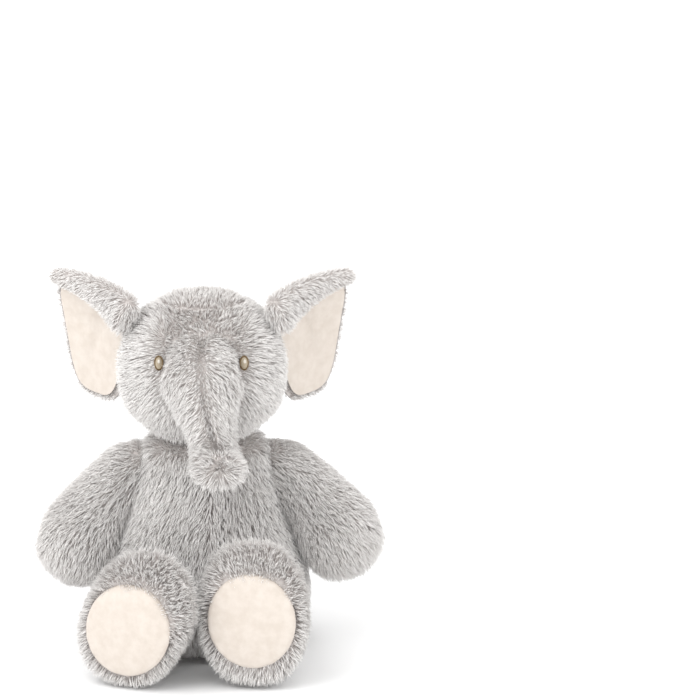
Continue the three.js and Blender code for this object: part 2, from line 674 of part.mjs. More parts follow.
function addTail() {
  const rear = BODY_BACK + 0.5 * BODY_DEPTH - TAIL_SUNK;
  const thin = TAIL_THICK / 2;
  const tuft = TUFT_THICK / 2;
  const stations = [
    { at: [0, rear + thin, TAIL_UP], half: thin, deep: thin },
    { at: [0, rear + thin + 7, TAIL_UP - 0.33 * TAIL_LENGTH], half: thin, deep: thin },
    { at: [0, rear + thin + 10, TAIL_UP - 0.6 * TAIL_LENGTH], half: tuft, deep: tuft },
  ];
  const domes = [4, 0.24 * TAIL_LENGTH];
  const tail = stuffedForm({ stations, side: X, domes, around: 12, steps: 3 });
  const root = new THREE.Vector3(0, rear, TAIL_UP);
  const bodyPath = swept(solidOf(inset(bodyForm(), -SEAM_GAP)), Y, root, TURN.tail, 16);
  node('tail', solidOf(tail).subtract(bodyPath), plush());
}

// ---- The elephant ----

const floorRoom = block([-BIG, -BIG, -BIG], [BIG, BIG, 0]);
let limbRoom = addArm('left', SIDES.left).add(addArm('right', SIDES.right));
for (const [name, side] of Object.entries(SIDES)) {
  limbRoom = limbRoom.add(addLeg(name, side, floorRoom));
}
addBody(limbRoom);
addNeckSeam();
addTail();

const head = new THREE.Group();
head.position.copy(NECK);
addHead(head);
elephant.add(head);

export default elephant;
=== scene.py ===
# %% [markdown]
# # A seated stuffed elephant
# The toy is sewn from long-pile plush, stuffed with fibre, and has velour ear linings and foot
# pads. The CAD model gives every piece its place and size. This script gives each piece its real
# cloth: a skin blown up like a stuffed bag, and a pile of single strands that grow from it.

# %% Set-up
import math
import bpy
import numpy as np
from mathutils import Matrix, Vector
from mathutils.kdtree import KDTree


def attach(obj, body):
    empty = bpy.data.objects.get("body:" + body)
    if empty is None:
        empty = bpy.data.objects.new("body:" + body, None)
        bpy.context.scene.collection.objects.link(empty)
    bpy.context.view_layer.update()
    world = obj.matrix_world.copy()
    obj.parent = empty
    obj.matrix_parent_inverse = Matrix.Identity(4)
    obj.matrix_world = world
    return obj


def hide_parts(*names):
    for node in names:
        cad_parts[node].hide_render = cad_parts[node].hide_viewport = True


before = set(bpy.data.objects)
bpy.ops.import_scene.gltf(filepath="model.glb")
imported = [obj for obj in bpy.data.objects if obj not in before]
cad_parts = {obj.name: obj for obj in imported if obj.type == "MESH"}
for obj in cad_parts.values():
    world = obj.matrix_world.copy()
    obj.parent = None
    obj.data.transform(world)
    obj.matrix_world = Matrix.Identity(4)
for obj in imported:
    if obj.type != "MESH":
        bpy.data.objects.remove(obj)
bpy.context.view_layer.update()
scene = bpy.context.scene
MM = 0.001
X, Y, Z = np.eye(3)

# %% [markdown]
# ## Camera, floor and light
# A long lens far away keeps the toy's proportions, where a short one close by would swell the
# feet. The key light is one large soft box in front, up and to one side. A weaker box on the
# other side and a white surrounding fill the shade.

# %% Camera
ELEVATION = math.radians(17)
VIEW_CENTRE = (125.8 * MM, 255.3 * MM)
DISTANCE = 10.0
SENSOR = 36.0
VIEW_WIDTH = 616 * MM
camera_data = bpy.data.cameras.new("studio_camera")
camera_data.sensor_width = SENSOR
camera_data.lens = SENSOR * DISTANCE / VIEW_WIDTH
camera = bpy.data.objects.new("studio_camera", camera_data)
scene.collection.objects.link(camera)
forward = Vector((0, math.cos(ELEVATION), -math.sin(ELEVATION)))
upward = Vector((0, math.sin(ELEVATION), math.cos(ELEVATION)))
camera.location = Vector((VIEW_CENTRE[0], 0, 0)) + upward * VIEW_CENTRE[1] - forward * DISTANCE
camera.rotation_euler = forward.to_track_quat("-Z", "Y").to_euler()
scene.camera = camera
print(f"lens {camera_data.lens:.0f} mm")

# %% Light and floor
scene.view_settings.view_transform = "Standard"
SURROUND = 1.25
LIT_POINT = (0, 0, 0.15)
FLOOR_HALF = 6.0
world = bpy.data.worlds.new("studio")
world.use_nodes = True
world.node_tree.nodes["Background"].inputs["Color"].default_value = (1, 1, 1, 1)
world.node_tree.nodes["Background"].inputs["Strength"].default_value = SURROUND
scene.world = world


def soft_box(name, place, size, watts):
    data = bpy.data.lights.new(name, "AREA")
    data.shape = "SQUARE"
    data.size = size
    data.energy = watts
    lamp = bpy.data.objects.new(name, data)
    scene.collection.objects.link(lamp)
    lamp.location = place
    lamp.rotation_euler = (Vector(LIT_POINT) - Vector(place)).to_track_quat("-Z", "Y").to_euler()


soft_box("key", (-1.2, -1.3, 1.9), size=1.7, watts=28)
soft_box("side_fill", (1.8, -0.9, 0.9), size=1.4, watts=6)

floor_mesh = bpy.data.meshes.new("floor")
floor_mesh.from_pydata([(x * FLOOR_HALF, y * FLOOR_HALF, 0) for x, y in
                        ((-1, -1), (1, -1), (1, 1), (-1, 1))], [], [(0, 1, 2, 3)])
floor = bpy.data.objects.new("floor", floor_mesh)
scene.collection.objects.link(floor)
print(len(bpy.data.lights), "lights")

# %% [markdown]
# ## Materials
# Plush is a knitted backing with long strands in it. The strands are darker and browner at the
# root, where little light gets in, and paler at the tip. Each strand carries its own tone. Both
# are read from the strand's own map: one direction runs along it, the other holds its tone.


# %% Node helpers
def socket_of(sockets, key):
    if isinstance(key, int):
        return sockets[key]
    return next(s for s in sockets if s.name == key and s.enabled)


def add(tree, kind, inputs=None, out=0, **settings):
    node = tree.nodes.new(kind)
    for key, value in settings.items():
        setattr(node, key, value)
    for key, value in (inputs or {}).items():
        socket = socket_of(node.inputs, key)
        if isinstance(value, bpy.types.NodeSocket):
            tree.links.new(value, socket)
        else:
            socket.default_value = value
    return socket_of(node.outputs, out) if out is not None else node


def srgb(red, green, blue):
    def linear(value):
        value /= 255
        return value / 12.92 if value <= 0.04045 else ((value + 0.055) / 1.055) ** 2.4
    return (linear(red), linear(green), linear(blue), 1)


def new_group(name, kind, inputs, outputs):
    tree = bpy.data.node_groups.new(name, kind)
    for in_out, sockets in (("INPUT", inputs), ("OUTPUT", outputs)):
        for label, socket_type, default in sockets:
            made = tree.interface.new_socket(label, in_out=in_out, socket_type=socket_type)
            if default is not None:
                made.default_value = default
    return tree, tree.nodes.new("NodeGroupInput").outputs, tree.nodes.new("NodeGroupOutput").inputs


def math_node(tree, operation, a, b=None, c=None):
    inputs = {0: a}
    if b is not None:
        inputs[1] = b
    if c is not None:
        inputs[2] = c
    return add(tree, "ShaderNodeMath", inputs, operation=operation)


def mixed(tree, factor, a, b):
    return add(tree, "ShaderNodeMix", {"Factor": factor, "A": a, "B": b}, out="Result",
               data_type="RGBA")


# %% Shared effects
COLOR, VALUE = "NodeSocketColor", "NodeSocketFloat"

# Root to tip, and lighter or darker by the strand's tone.
strand_group, at, to = new_group(
    "strand_colour", "ShaderNodeTree",
    [("Root", COLOR, None), ("Tip", COLOR, None), ("Spread", VALUE, 0.3)],
    [("Color", COLOR, None)])
strand_map = add(strand_group, "ShaderNodeUVMap", uv_map="OFBake")
parts = add(strand_group, "ShaderNodeSeparateXYZ", {0: strand_map}, out=None)
rise = add(strand_group, "ShaderNodeMapRange", {0: parts.outputs[1], 1: 0.0, 2: 0.75},
           interpolation_type="SMOOTHSTEP")
shade = mixed(strand_group, rise, at["Root"], at["Tip"])
toned = math_node(strand_group, "MULTIPLY_ADD",
                  math_node(strand_group, "SUBTRACT", parts.outputs[0], 0.5), at["Spread"], 1.0)
grey = add(strand_group, "ShaderNodeCombineXYZ", {0: toned, 1: toned, 2: toned})
strand_group.links.new(add(strand_group, "ShaderNodeVectorMath", {0: shade, 1: grey},
                           operation="MULTIPLY"), to["Color"])

# Short nap: a mottle of painted sheen where the nap is brushed two ways, and a fine grain for the
# fibre ends.
nap_group, at, to = new_group(
    "nap", "ShaderNodeTree",
    [("Base", COLOR, None), ("Brushed sheen", COLOR, None), ("Mottle size", VALUE, 140.0),
     ("Grain size", VALUE, 1500.0)],
    [("Color", COLOR, None), ("Height", VALUE, None)])
place = add(nap_group, "ShaderNodeTexCoord", out="Object")
mottle = add(nap_group, "ShaderNodeTexNoise",
             {"Vector": place, "Scale": at["Mottle size"], "Detail": 3.0, "Roughness": 0.6})
grain = add(nap_group, "ShaderNodeTexNoise",
            {"Vector": place, "Scale": at["Grain size"], "Detail": 2.0, "Roughness": 0.7})
sheen_mix = add(nap_group, "ShaderNodeMapRange", {0: mottle, 1: 0.35, 2: 0.65})
nap_group.links.new(mixed(nap_group, sheen_mix, at["Base"], at["Brushed sheen"]), to["Color"])
nap_group.links.new(math_node(nap_group, "MULTIPLY_ADD", mottle, 0.5, grain), to["Height"])


# %% Cloth and thread
NAP_DEPTH = 0.4 * MM


def cloth_material(name, group, values, roughness, sheen, bump=0.0, specular=0.15):
    made = bpy.data.materials.new(name)
    made.use_nodes = True
    tree = made.node_tree
    shader = tree.nodes["Principled BSDF"]
    shader.inputs["Roughness"].default_value = roughness
    shader.inputs["Sheen Weight"].default_value = sheen
    shader.inputs["Sheen Roughness"].default_value = 0.5
    shader.inputs["Specular IOR Level"].default_value = specular
    effect = tree.nodes.new("ShaderNodeGroup")
    effect.node_tree = group
    for key, value in values.items():
        effect.inputs[key].default_value = value
    tree.links.new(effect.outputs["Color"], shader.inputs["Base Color"])
    if bump:
        raised = add(tree, "ShaderNodeBump", {"Strength": bump, "Distance": NAP_DEPTH,
                                              "Height": effect.outputs["Height"]})
        tree.links.new(raised, shader.inputs["Normal"])
    return made


def thread_material(name, dark, pale, roughness=0.5, sheen=0.1, specular=0.4):
    values = {"Base": srgb(*dark), "Brushed sheen": srgb(*pale), "Mottle size": 900.0}
    return cloth_material(name, nap_group, values, roughness, sheen, 0.2, specular)


pile_material = cloth_material(
    "plush_pile", strand_group,
    {"Root": srgb(196, 190, 187), "Tip": srgb(230, 228, 226), "Spread": 0.2},
    roughness=0.85, sheen=0.15)
backing_material = cloth_material(
    "plush_backing", nap_group,
    {"Base": srgb(186, 180, 177), "Brushed sheen": srgb(200, 194, 191)},
    roughness=0.9, sheen=0.0, bump=0.4)
velour_material = cloth_material(
    "velour", nap_group,
    {"Base": srgb(202, 192, 182), "Brushed sheen": srgb(210, 201, 192), "Mottle size": 120.0},
    roughness=0.85, sheen=0.2, bump=0.5)
eye_material = thread_material("eye_thread", (158, 144, 122), (176, 163, 142))
outline_material = thread_material("eye_outline_thread", (104, 84, 56), (122, 100, 68))
highlight_material = thread_material("eye_highlight_thread", (206, 200, 190), (216, 210, 200))
seam_material = thread_material("sewing_thread", (150, 143, 139), (166, 159, 155),
                                roughness=0.6, sheen=0.0, specular=0.15)

# %% Floor finish
floor_material = bpy.data.materials.new("floor")
floor_material.use_nodes = True
floor_shader = floor_material.node_tree.nodes["Principled BSDF"]
floor_shader.inputs["Base Color"].default_value = (0.93, 0.93, 0.93, 1)
floor_shader.inputs["Roughness"].default_value = 0.9
floor_shader.inputs["Specular IOR Level"].default_value = 0.0
floor.data.materials.append(floor_material)
print(len(bpy.data.materials), "materials")

# %% [markdown]
# ## Stuffed forms
# A limb or a body is a bag that has been filled, so it is round everywhere. Each one could be
# sculpted. Here it is lofted: a smooth line runs through a few stations, each with a half width
# and a half depth, a ring is laid at every step, and a dome closes each end. The sizes follow
# the CAD model's, a little fuller at the arms, the jaw and the top of the body, and the skin lies
# deeper, because the pile stands on it.


# %% Lofting
def smooth_line(rows, share):
    rows = np.asarray(rows, float)
    last = len(rows) - 1
    ends = np.vstack([2 * rows[0] - rows[1], rows, 2 * rows[-1] - rows[-2]])
    step = np.clip(share, 0, 1) * last
    first = np.minimum(step.astype(int), last - 1)
    f = (step - first)[:, None]
    a, b, c, d = (ends[first + k] for k in range(4))
    return 0.5 * (2 * b + (c - a) * f + (2 * a - 5 * b + 4 * c - d) * f**2
                  + (3 * b - a - 3 * c + d) * f**3)


def unit(vectors):
    return vectors / np.maximum(np.linalg.norm(vectors, axis=-1, keepdims=True), 1e-12)


class Form:
    """A closed form: its corners and faces, and at each corner which way its line runs."""

    def __init__(self, corners, faces, along, share, angle):
        self.corners, self.faces = corners, faces
        self.along, self.share, self.angle = along, share, angle

    def moved(self, matrix):
        m = np.array(matrix)
        faces = self.faces if np.linalg.det(m[:3, :3]) > 0 else [f[::-1] for f in self.faces]
        return Form(self.corners @ m[:3, :3].T + m[:3, 3], faces,
                    unit(self.along @ m[:3, :3].T), self.share, self.angle)


def stuffed_form(stations, domes, side=X, facing=None, roll=None, leans=None, around=72, steps=7,
                 square=2.2):
    stations = np.array(stations, float) * MM
    domes = np.array(domes) * MM
    count = (len(stations) - 1) * steps
    shares = np.linspace(0, 1, count + 1)
    line = smooth_line(stations, shares)
    tangents = unit(np.gradient(line[:, :3], axis=0))
    if facing is not None:
        tangents = np.tile(facing, (count + 1, 1))
    if leans:  # degrees that each station's ring looks ahead of straight down
        lean = np.radians(smooth_line([[angle] for angle in leans], shares)[:, 0])
        tangents = np.stack([0 * lean, -np.sin(lean), -np.cos(lean)], 1)
    arcs = np.radians([75, 60, 45, 30, 15])
    rings = [(0, -domes[0] * math.sin(a), math.cos(a)) for a in arcs]
    rings += [(i, 0, 1) for i in range(count + 1)]
    rings += [(count, domes[1] * math.sin(a), math.cos(a)) for a in arcs[::-1]]
    turn = np.linspace(0, 2 * math.pi, around, endpoint=False)
    wide = np.sign(np.cos(turn)) * np.abs(np.cos(turn)) ** (2 / square)
    deep = np.sign(np.sin(turn)) * np.abs(np.sin(turn)) ** (2 / square)
    along, share, angle, ring_sets = [], [], [], []
    for i, forward_by, shrink in rings:
        tangent = tangents[i]
        across = unit(side - tangent * (side @ tangent))
        up = np.cross(tangent, across)
        if roll:
            spin = roll(shares[i])
            across, up = (across * math.cos(spin) + up * math.sin(spin),
                          up * math.cos(spin) - across * math.sin(spin))
        middle = line[i, :3] + tangent * forward_by
        ring_sets.append(middle + shrink * (
            line[i, 3] * wide[:, None] * across + line[i, 4] * deep[:, None] * up))
        along += [tangent] * around
        share += [shares[i]] * around
        angle += list(turn)
    first = line[0, :3] - tangents[0] * domes[0]
    last = line[-1, :3] + tangents[-1] * domes[1]
    corners = np.vstack([first[None], *ring_sets, last[None]])
    along = np.vstack([tangents[:1], np.array(along), tangents[-1:]])
    share = np.array([0.0, *share, 1.0])
    angle = np.array([0.0, *angle, 0.0])
    faces = []
    end = len(corners) - 1
    for k in range(around):
        nxt = (k + 1) % around
        faces.append((0, 1 + nxt, 1 + k))
        for r in range(len(rings) - 1):
            a, b = 1 + r * around, 1 + (r + 1) * around
            faces.append((a + k, a + nxt, b + nxt, b + k))
        low = end - around
        faces.append((end, low + k, low + nxt))
    return Form(corners, faces, along, share, angle)


def mesh_of(name, form, material):
    mesh = bpy.data.meshes.new(name)
    mesh.from_pydata(form.corners.tolist(), [], form.faces)
    mesh.materials.append(material)
    for face in mesh.polygons:
        face.use_smooth = True
    mesh.update()
    return mesh


def normals_of(mesh):
    found = np.empty(len(mesh.vertices) * 3)
    mesh.vertex_normals.foreach_get("vector", found)
    return found.reshape(-1, 3)


def corners_of(mesh):
    found = np.empty(len(mesh.vertices) * 3)
    mesh.vertices.foreach_get("co", found)
    return found.reshape(-1, 3)


def set_corners(mesh, corners):
    mesh.vertices.foreach_set("co", np.asarray(corners, np.float32).ravel())
    mesh.update()


def show(name, mesh):
    made = bpy.data.objects.new(name, mesh)
    scene.collection.objects.link(made)
    return made


# %% [markdown]
# ## Blowing up the skins
# Fibre pushes a sewn bag outwards everywhere but at its seams, which hold it in. Vertex moves
# could fake that. Cloth with air pressure does it for real: the seam's corners are pinned, the
# rest swells for twenty frames, and no corner may move further than a cap.

# %% Inflation
SKIN_DEPTH = 6.0 * MM
SEAM_WIDTH = 3.5 * MM
PRESSURE = 4.0
FRAMES = 20
SWELL = 0.7  # the share of its cap that a skin swells by, away from its seams


def near(distance, width):
    """1 on a line and close to 0 from two widths away on."""
    return np.exp(-((distance / width) ** 2))


def inflated(piece, held, cap):
    start = corners_of(piece.data)
    pinned = piece.vertex_groups.new(name="sewn")
    for index in np.flatnonzero(held > 0.02):
        pinned.add([int(index)], float(min(held[index], 1)), "REPLACE")
    cloth = piece.modifiers.new("stuffing", "CLOTH")
    cloth.settings.quality = 4
    cloth.settings.mass = 0.3
    cloth.settings.use_pressure = True
    cloth.settings.uniform_pressure_force = PRESSURE
    cloth.settings.vertex_group_mass = "sewn"
    cloth.settings.effector_weights.gravity = 0
    cloth.collision_settings.use_collision = False
    cloth.point_cache.frame_start = 1
    cloth.point_cache.frame_end = FRAMES
    for number in range(1, FRAMES + 1):
        scene.frame_set(number)
    after = corners_of(piece.evaluated_get(bpy.context.evaluated_depsgraph_get()).data)
    piece.modifiers.remove(cloth)
    piece.vertex_groups.clear()
    scene.frame_set(1)
    move = after - start
    far = np.linalg.norm(move, axis=1)
    move *= (cap * np.tanh(far / cap) / np.maximum(far, 1e-9))[:, None]
    set_corners(piece.data, start + move)
    print(f"{piece.name}: moved {1000 * np.linalg.norm(move, axis=1).mean():.1f} mm on average")


def skin(name, form, seam_distance, cap=2.5 * MM, groove=1.0 * MM):
    """A skin of backing cloth: the form laid deeper, with seams drawn in, then blown up."""
    mesh = mesh_of(name, form, backing_material)
    held = near(seam_distance, SEAM_WIDTH)
    inwards = SKIN_DEPTH + cap * SWELL + groove * held
    set_corners(mesh, form.corners - normals_of(mesh) * inwards[:, None])
    piece = show(name, mesh)
    inflated(piece, held, cap)
    form.skin = corners_of(mesh)
    form.normals = normals_of(mesh)
    return piece


# %% [markdown]
# ## The pile
# Long pile is a great many strands that lean the way the cloth was brushed and gather into
# tufts. A hair system would be quick, but it is no mesh and can't leave Blender. Geometry Nodes
# grow it as mesh: points are scattered on the skin, each finds its nearest tuft, a slim closed
# cone is put on each point, and the cone's corners are moved onto a curve from root to tip.


# %% Strand tree
def named(tree, name, kind="FLOAT"):
    return add(tree, "GeometryNodeInputNamedAttribute", {"Name": name}, out="Attribute",
               data_type=kind)


def stored(tree, geometry, name, value, kind="FLOAT", domain="POINT"):
    return add(tree, "GeometryNodeStoreNamedAttribute",
               {"Geometry": geometry, "Name": name, "Value": value}, data_type=kind, domain=domain)


def vector_node(tree, operation, a, b=None, scale=None):
    inputs = {0: a}
    if b is not None:
        inputs[1] = b
    if scale is not None:
        inputs["Scale"] = scale
    return add(tree, "ShaderNodeVectorMath", inputs, operation=operation)


def random_vector(tree, seed, amount):
    low, high = (-amount,) * 3, (amount,) * 3
    return add(tree, "FunctionNodeRandomValue", {"Min": low, "Max": high, "Seed": seed},
               out="Value", data_type="FLOAT_VECTOR")


def random_number(tree, seed, low, high):
    return add(tree, "FunctionNodeRandomValue", {"Min": low, "Max": high, "Seed": seed},
               out="Value", data_type="FLOAT")


def build_pile_tree():
    tree, at, to = new_group(
        "pile_strands", "GeometryNodeTree",
        [("Geometry", "NodeSocketGeometry", None), ("Strands", VALUE, 4.0e5),
         ("Tufts", VALUE, 2.2e4), ("Length", VALUE, 0.012), ("Width", VALUE, 0.00042),
         ("Lift", VALUE, 0.7), ("Stray", VALUE, 0.36), ("Gather", VALUE, 0.38),
         ("Seed", "NodeSocketInt", 1), ("Material", "NodeSocketMaterial", None)],
        [("Geometry", "NodeSocketGeometry", None)])
    seed = at["Seed"]

    def scattered(density, add_to_seed):
        own_seed = math_node(tree, "ADD", seed, float(add_to_seed))
        thinned = math_node(tree, "MULTIPLY", density, named(tree, "thick"))
        node = add(tree, "GeometryNodeDistributePointsOnFaces",
                   {"Mesh": at["Geometry"], "Density": thinned, "Seed": own_seed}, out=None,
                   distribute_method="RANDOM")
        return node.outputs["Points"], node.outputs["Normal"]

    def leaning(normal, stray, add_to_seed):
        upright = math_node(tree, "MULTIPLY", at["Lift"], named(tree, "lift"))
        out = vector_node(tree, "SCALE", normal, scale=upright)
        lean = vector_node(tree, "ADD", out, named(tree, "comb", "FLOAT_VECTOR"))
        loose = vector_node(tree, "SCALE", random_vector(tree, add_to_seed, 1.0), scale=stray)
        return vector_node(tree, "NORMALIZE", vector_node(tree, "ADD", lean, loose))

    here = add(tree, "GeometryNodeInputPosition")
    reach = math_node(tree, "MULTIPLY", at["Length"], named(tree, "long"))
    # Each tuft's own tip
    tufts, tuft_normal = scattered(at["Tufts"], 11)
    tuft_reach = math_node(tree, "MULTIPLY", reach, random_number(tree, 3, 0.85, 1.2))
    tuft_aim = vector_node(tree, "SCALE", leaning(tuft_normal, at["Stray"], 5), scale=tuft_reach)
    tufts = stored(tree, tufts, "aim", tuft_aim, "FLOAT_VECTOR")
    tufts = stored(tree, tufts, "tuft_tone", random_number(tree, 7, 0.0, 1.0))
    # Each strand's tip, drawn towards its tuft's
    points, normal = scattered(at["Strands"], 0)
    nearest = add(tree, "GeometryNodeSampleNearest", {"Geometry": tufts}, domain="POINT")

    def of_tuft(value, kind):
        return add(tree, "GeometryNodeSampleIndex",
                   {"Geometry": tufts, "Value": value, "Index": nearest}, out="Value",
                   data_type=kind, domain="POINT")

    own_reach = math_node(tree, "MULTIPLY", reach, random_number(tree, 13, 0.7, 1.1))
    own_stray = math_node(tree, "MULTIPLY", at["Stray"], 0.8)
    own = vector_node(tree, "SCALE", leaning(normal, own_stray, 17), scale=own_reach)
    tuft_root = of_tuft(here, "FLOAT_VECTOR")
    to_tuft = vector_node(tree, "SUBTRACT", tuft_root, here)
    gathered = vector_node(tree, "ADD", of_tuft(named(tree, "aim", "FLOAT_VECTOR"),
                                                "FLOAT_VECTOR"),
                           vector_node(tree, "SCALE", to_tuft, scale=0.8))
    pull = math_node(tree, "MULTIPLY", at["Gather"], random_number(tree, 19, 0.5, 1.3))
    aim = add(tree, "ShaderNodeMix", {"Factor": pull, "A": own, "B": gathered}, out="Result",
              data_type="VECTOR")
    half_up = vector_node(tree, "SCALE", normal, scale=math_node(tree, "MULTIPLY", own_reach, 0.42))
    bend = vector_node(tree, "ADD", half_up, vector_node(tree, "SCALE", aim, scale=0.3))
    # The strand's own cross directions
    tilted = vector_node(tree, "ADD", normal, random_vector(tree, 23, 0.7))
    across = vector_node(tree, "NORMALIZE", vector_node(tree, "CROSS_PRODUCT", aim, tilted))
    through = vector_node(tree, "NORMALIZE", vector_node(tree, "CROSS_PRODUCT", across, aim))
    tone = math_node(tree, "MULTIPLY_ADD", of_tuft(named(tree, "tuft_tone"), "FLOAT"), 0.45,
                     math_node(tree, "MULTIPLY_ADD", random_number(tree, 29, 0.0, 1.0), 0.25,
                               math_node(tree, "MULTIPLY", named(tree, "tone"), 0.3)))
    own_width = math_node(tree, "MULTIPLY", at["Width"], random_number(tree, 31, 0.7, 1.25))
    for name, value, kind in (
            ("root", here, "FLOAT_VECTOR"), ("bend", bend, "FLOAT_VECTOR"),
            ("tip", aim, "FLOAT_VECTOR"), ("across", across, "FLOAT_VECTOR"),
            ("through", through, "FLOAT_VECTOR"), ("shade", tone, "FLOAT"),
            ("wide", own_width, "FLOAT")):
        points = stored(tree, points, name, value, kind)
    # A closed cone on each point, one unit long
    cone = add(tree, "GeometryNodeMeshCone",
               {"Vertices": 3, "Side Segments": 2, "Radius Top": 0.0, "Radius Bottom": 1.0,
                "Depth": 1.0}, out="Mesh", fill_type="NGON")
    cone = stored(tree, cone, "spot", here, "FLOAT_VECTOR")
    grown = add(tree, "GeometryNodeInstanceOnPoints", {"Points": points, "Instance": cone})
    grown = add(tree, "GeometryNodeRealizeInstances", {0: grown})
    spot = add(tree, "ShaderNodeSeparateXYZ", {0: named(tree, "spot", "FLOAT_VECTOR")}, out=None)
    f = spot.outputs[2]
    fatter = math_node(tree, "MULTIPLY_ADD", math_node(tree, "MULTIPLY", f,
                                                       math_node(tree, "SUBTRACT", 1.0, f)),
                       2.6, 1.0)
    girth = math_node(tree, "MULTIPLY", named(tree, "wide"), fatter)
    off_x = math_node(tree, "MULTIPLY", spot.outputs[0], girth)
    off_y = math_node(tree, "MULTIPLY", math_node(tree, "MULTIPLY", spot.outputs[1], girth), 0.5)
    to_bend = math_node(tree, "MULTIPLY", math_node(tree, "MULTIPLY", f, 2.0),
                        math_node(tree, "SUBTRACT", 1.0, f))
    where = named(tree, "root", "FLOAT_VECTOR")
    for name, amount in (("bend", to_bend), ("tip", math_node(tree, "MULTIPLY", f, f)),
                         ("across", off_x), ("through", off_y)):
        where = vector_node(tree, "ADD", where, vector_node(
            tree, "SCALE", named(tree, name, "FLOAT_VECTOR"), scale=amount))
    above_floor = vector_node(tree, "MAXIMUM", where, (-9.0, -9.0, 0.0004))
    grown = add(tree, "GeometryNodeSetPosition", {"Geometry": grown, "Position": above_floor})
    u = math_node(tree, "MULTIPLY_ADD", spot.outputs[0], 0.012,
                  math_node(tree, "MULTIPLY_ADD", named(tree, "shade"), 0.94, 0.03))
    strand_uv = add(tree, "ShaderNodeCombineXYZ", {0: u, 1: f})
    grown = stored(tree, grown, "OFBake", strand_uv, "FLOAT2", "CORNER")
    for name in ("root", "bend", "tip", "across", "through", "shade", "wide", "spot", "comb",
                 "long", "thick", "tone", "lift"):
        grown = add(tree, "GeometryNodeRemoveAttribute", {"Geometry": grown, "Name": name})
    grown = add(tree, "GeometryNodeSetMaterial", {"Geometry": grown, "Material": at["Material"]})
    tree.links.new(grown, to["Geometry"])
    return tree


pile_tree = build_pile_tree()
print(len(pile_tree.nodes), "nodes in the strand tree")

# %% Growing a pile
STRANDS = 6.6e5  # on a square metre
TUFTS = 9e4
STRAND_FACES, STRAND_TRIANGLES = 7, 10
pile_triangles = 0


def with_modifier(source, tree, settings):
    """The plain mesh that a Geometry Nodes tree makes of an object."""
    modifier = source.modifiers.new("grow", "NODES")
    modifier.node_group = tree
    identifiers = {i.name: i.identifier for i in tree.interface.items_tree if i.in_out == "INPUT"}
    for key, value in settings.items():
        modifier[identifiers[key]] = value
    graph = bpy.context.evaluated_depsgraph_get()
    mesh = bpy.data.meshes.new_from_object(source.evaluated_get(graph))
    source.modifiers.remove(modifier)
    return mesh


def noise3(points, size, seed):
    """A smooth field from -1 to 1: a few waves in fixed random directions."""
    rng = np.random.default_rng(seed)
    waves = rng.normal(size=(9, 3)) / size
    offsets = rng.uniform(0, 2 * math.pi, 9)
    return np.sin(points @ waves.T + offsets).mean(1) * 1.5


def wander(points, size, seed, amount):
    """A smooth random lean of the pile."""
    return amount * np.stack([noise3(points, size, seed + k) for k in range(3)], 1)


def mottled(points, size, seed):
    """A tone that drifts about the middle one."""
    return 0.5 + 0.5 * noise3(points, size, seed)


def pile(name, form, chosen, comb, long=1.0, thick=1.0, tone=0.5, lift=1.0, seed=1, **settings):
    """Grows pile on the chosen faces of a form's skin. comb is which way it lies, by corner."""
    global pile_triangles
    used = sorted({corner for face in chosen for corner in face})
    new_index = {old: new for new, old in enumerate(used)}
    mesh = bpy.data.meshes.new(name + "_base")
    mesh.from_pydata(form.skin[used].tolist(), [],
                     [[new_index[c] for c in face] for face in chosen])
    normals = form.normals[used]
    lay = np.broadcast_to(comb, form.corners.shape)[used]
    lay = lay - normals * (lay * normals).sum(1)[:, None]
    fields = {"comb": lay, "long": long, "thick": thick, "tone": tone, "lift": lift}
    for key, value in fields.items():
        kind = "FLOAT_VECTOR" if key == "comb" else "FLOAT"
        attribute = mesh.attributes.new(key, kind, "POINT")
        if key != "comb":
            value = np.broadcast_to(value, len(form.corners))[used]
        attribute.data.foreach_set("vector" if key == "comb" else "value",
                                   np.asarray(value, np.float32).ravel())
    base = show(name + "_base", mesh)
    values = {"Strands": STRANDS, "Tufts": TUFTS, "Seed": seed, "Material": pile_material}
    grown = with_modifier(base, pile_tree, values | settings)
    bpy.data.objects.remove(base)
    grown.name = name
    piece = show(name, grown)
    pile_triangles += len(grown.polygons) // STRAND_FACES * STRAND_TRIANGLES
    return piece


def faces_where(form, test, local=None):
    """The faces whose middles pass a test, as they lie on the toy or in the piece's own frame."""
    places = (local or form).corners
    wanted = test(np.array([places[list(face)].mean(0) for face in form.faces]))
    return [face for face, keep in zip(form.faces, wanted) if keep]

# %% [markdown]
# ## Head
# The head is three panels: a gusset from the brow over the crown to the nape, and a side panel
# each side. It is sewn to the body at the neck and sits on it like a ball in a cup. Its form comes
# first, then the places of the eyes.

# %% Head form
NECK = np.array([-3, -10, 200]) * MM
HEAD_PLACE = Matrix.Translation(NECK)
HEAD_SIZE = (150, 122, 138)
HEAD_PROFILE = [(0.06, 0.60), (0.22, 0.90), (0.42, 1.0), (0.62, 0.97), (0.80, 0.83), (0.93, 0.53)]
GUSSET_HALF = 32 * MM
head_local = stuffed_form(
    [(0, -8, -9 + up * HEAD_SIZE[2], wide * HEAD_SIZE[0] / 2, wide * HEAD_SIZE[1] / 2)
     for up, wide in HEAD_PROFILE], (8.3, 9.7), around=96, steps=8)
head = head_local.moved(HEAD_PLACE)
hx, hy, hz = head_local.corners.T


def under_chin(y, z):
    """Below the gusset the two side panels meet in one seam."""
    return (y < -8 * MM) & (z < 60 * MM)


head_seam = np.where(under_chin(hy, hz), np.abs(hx), np.abs(np.abs(hx) - GUSSET_HALF))
head_skin = skin("head_skin", head, head_seam, groove=1.2 * MM)


def head_point(*mm):
    return np.array(HEAD_PLACE @ Vector([c * MM for c in mm]))


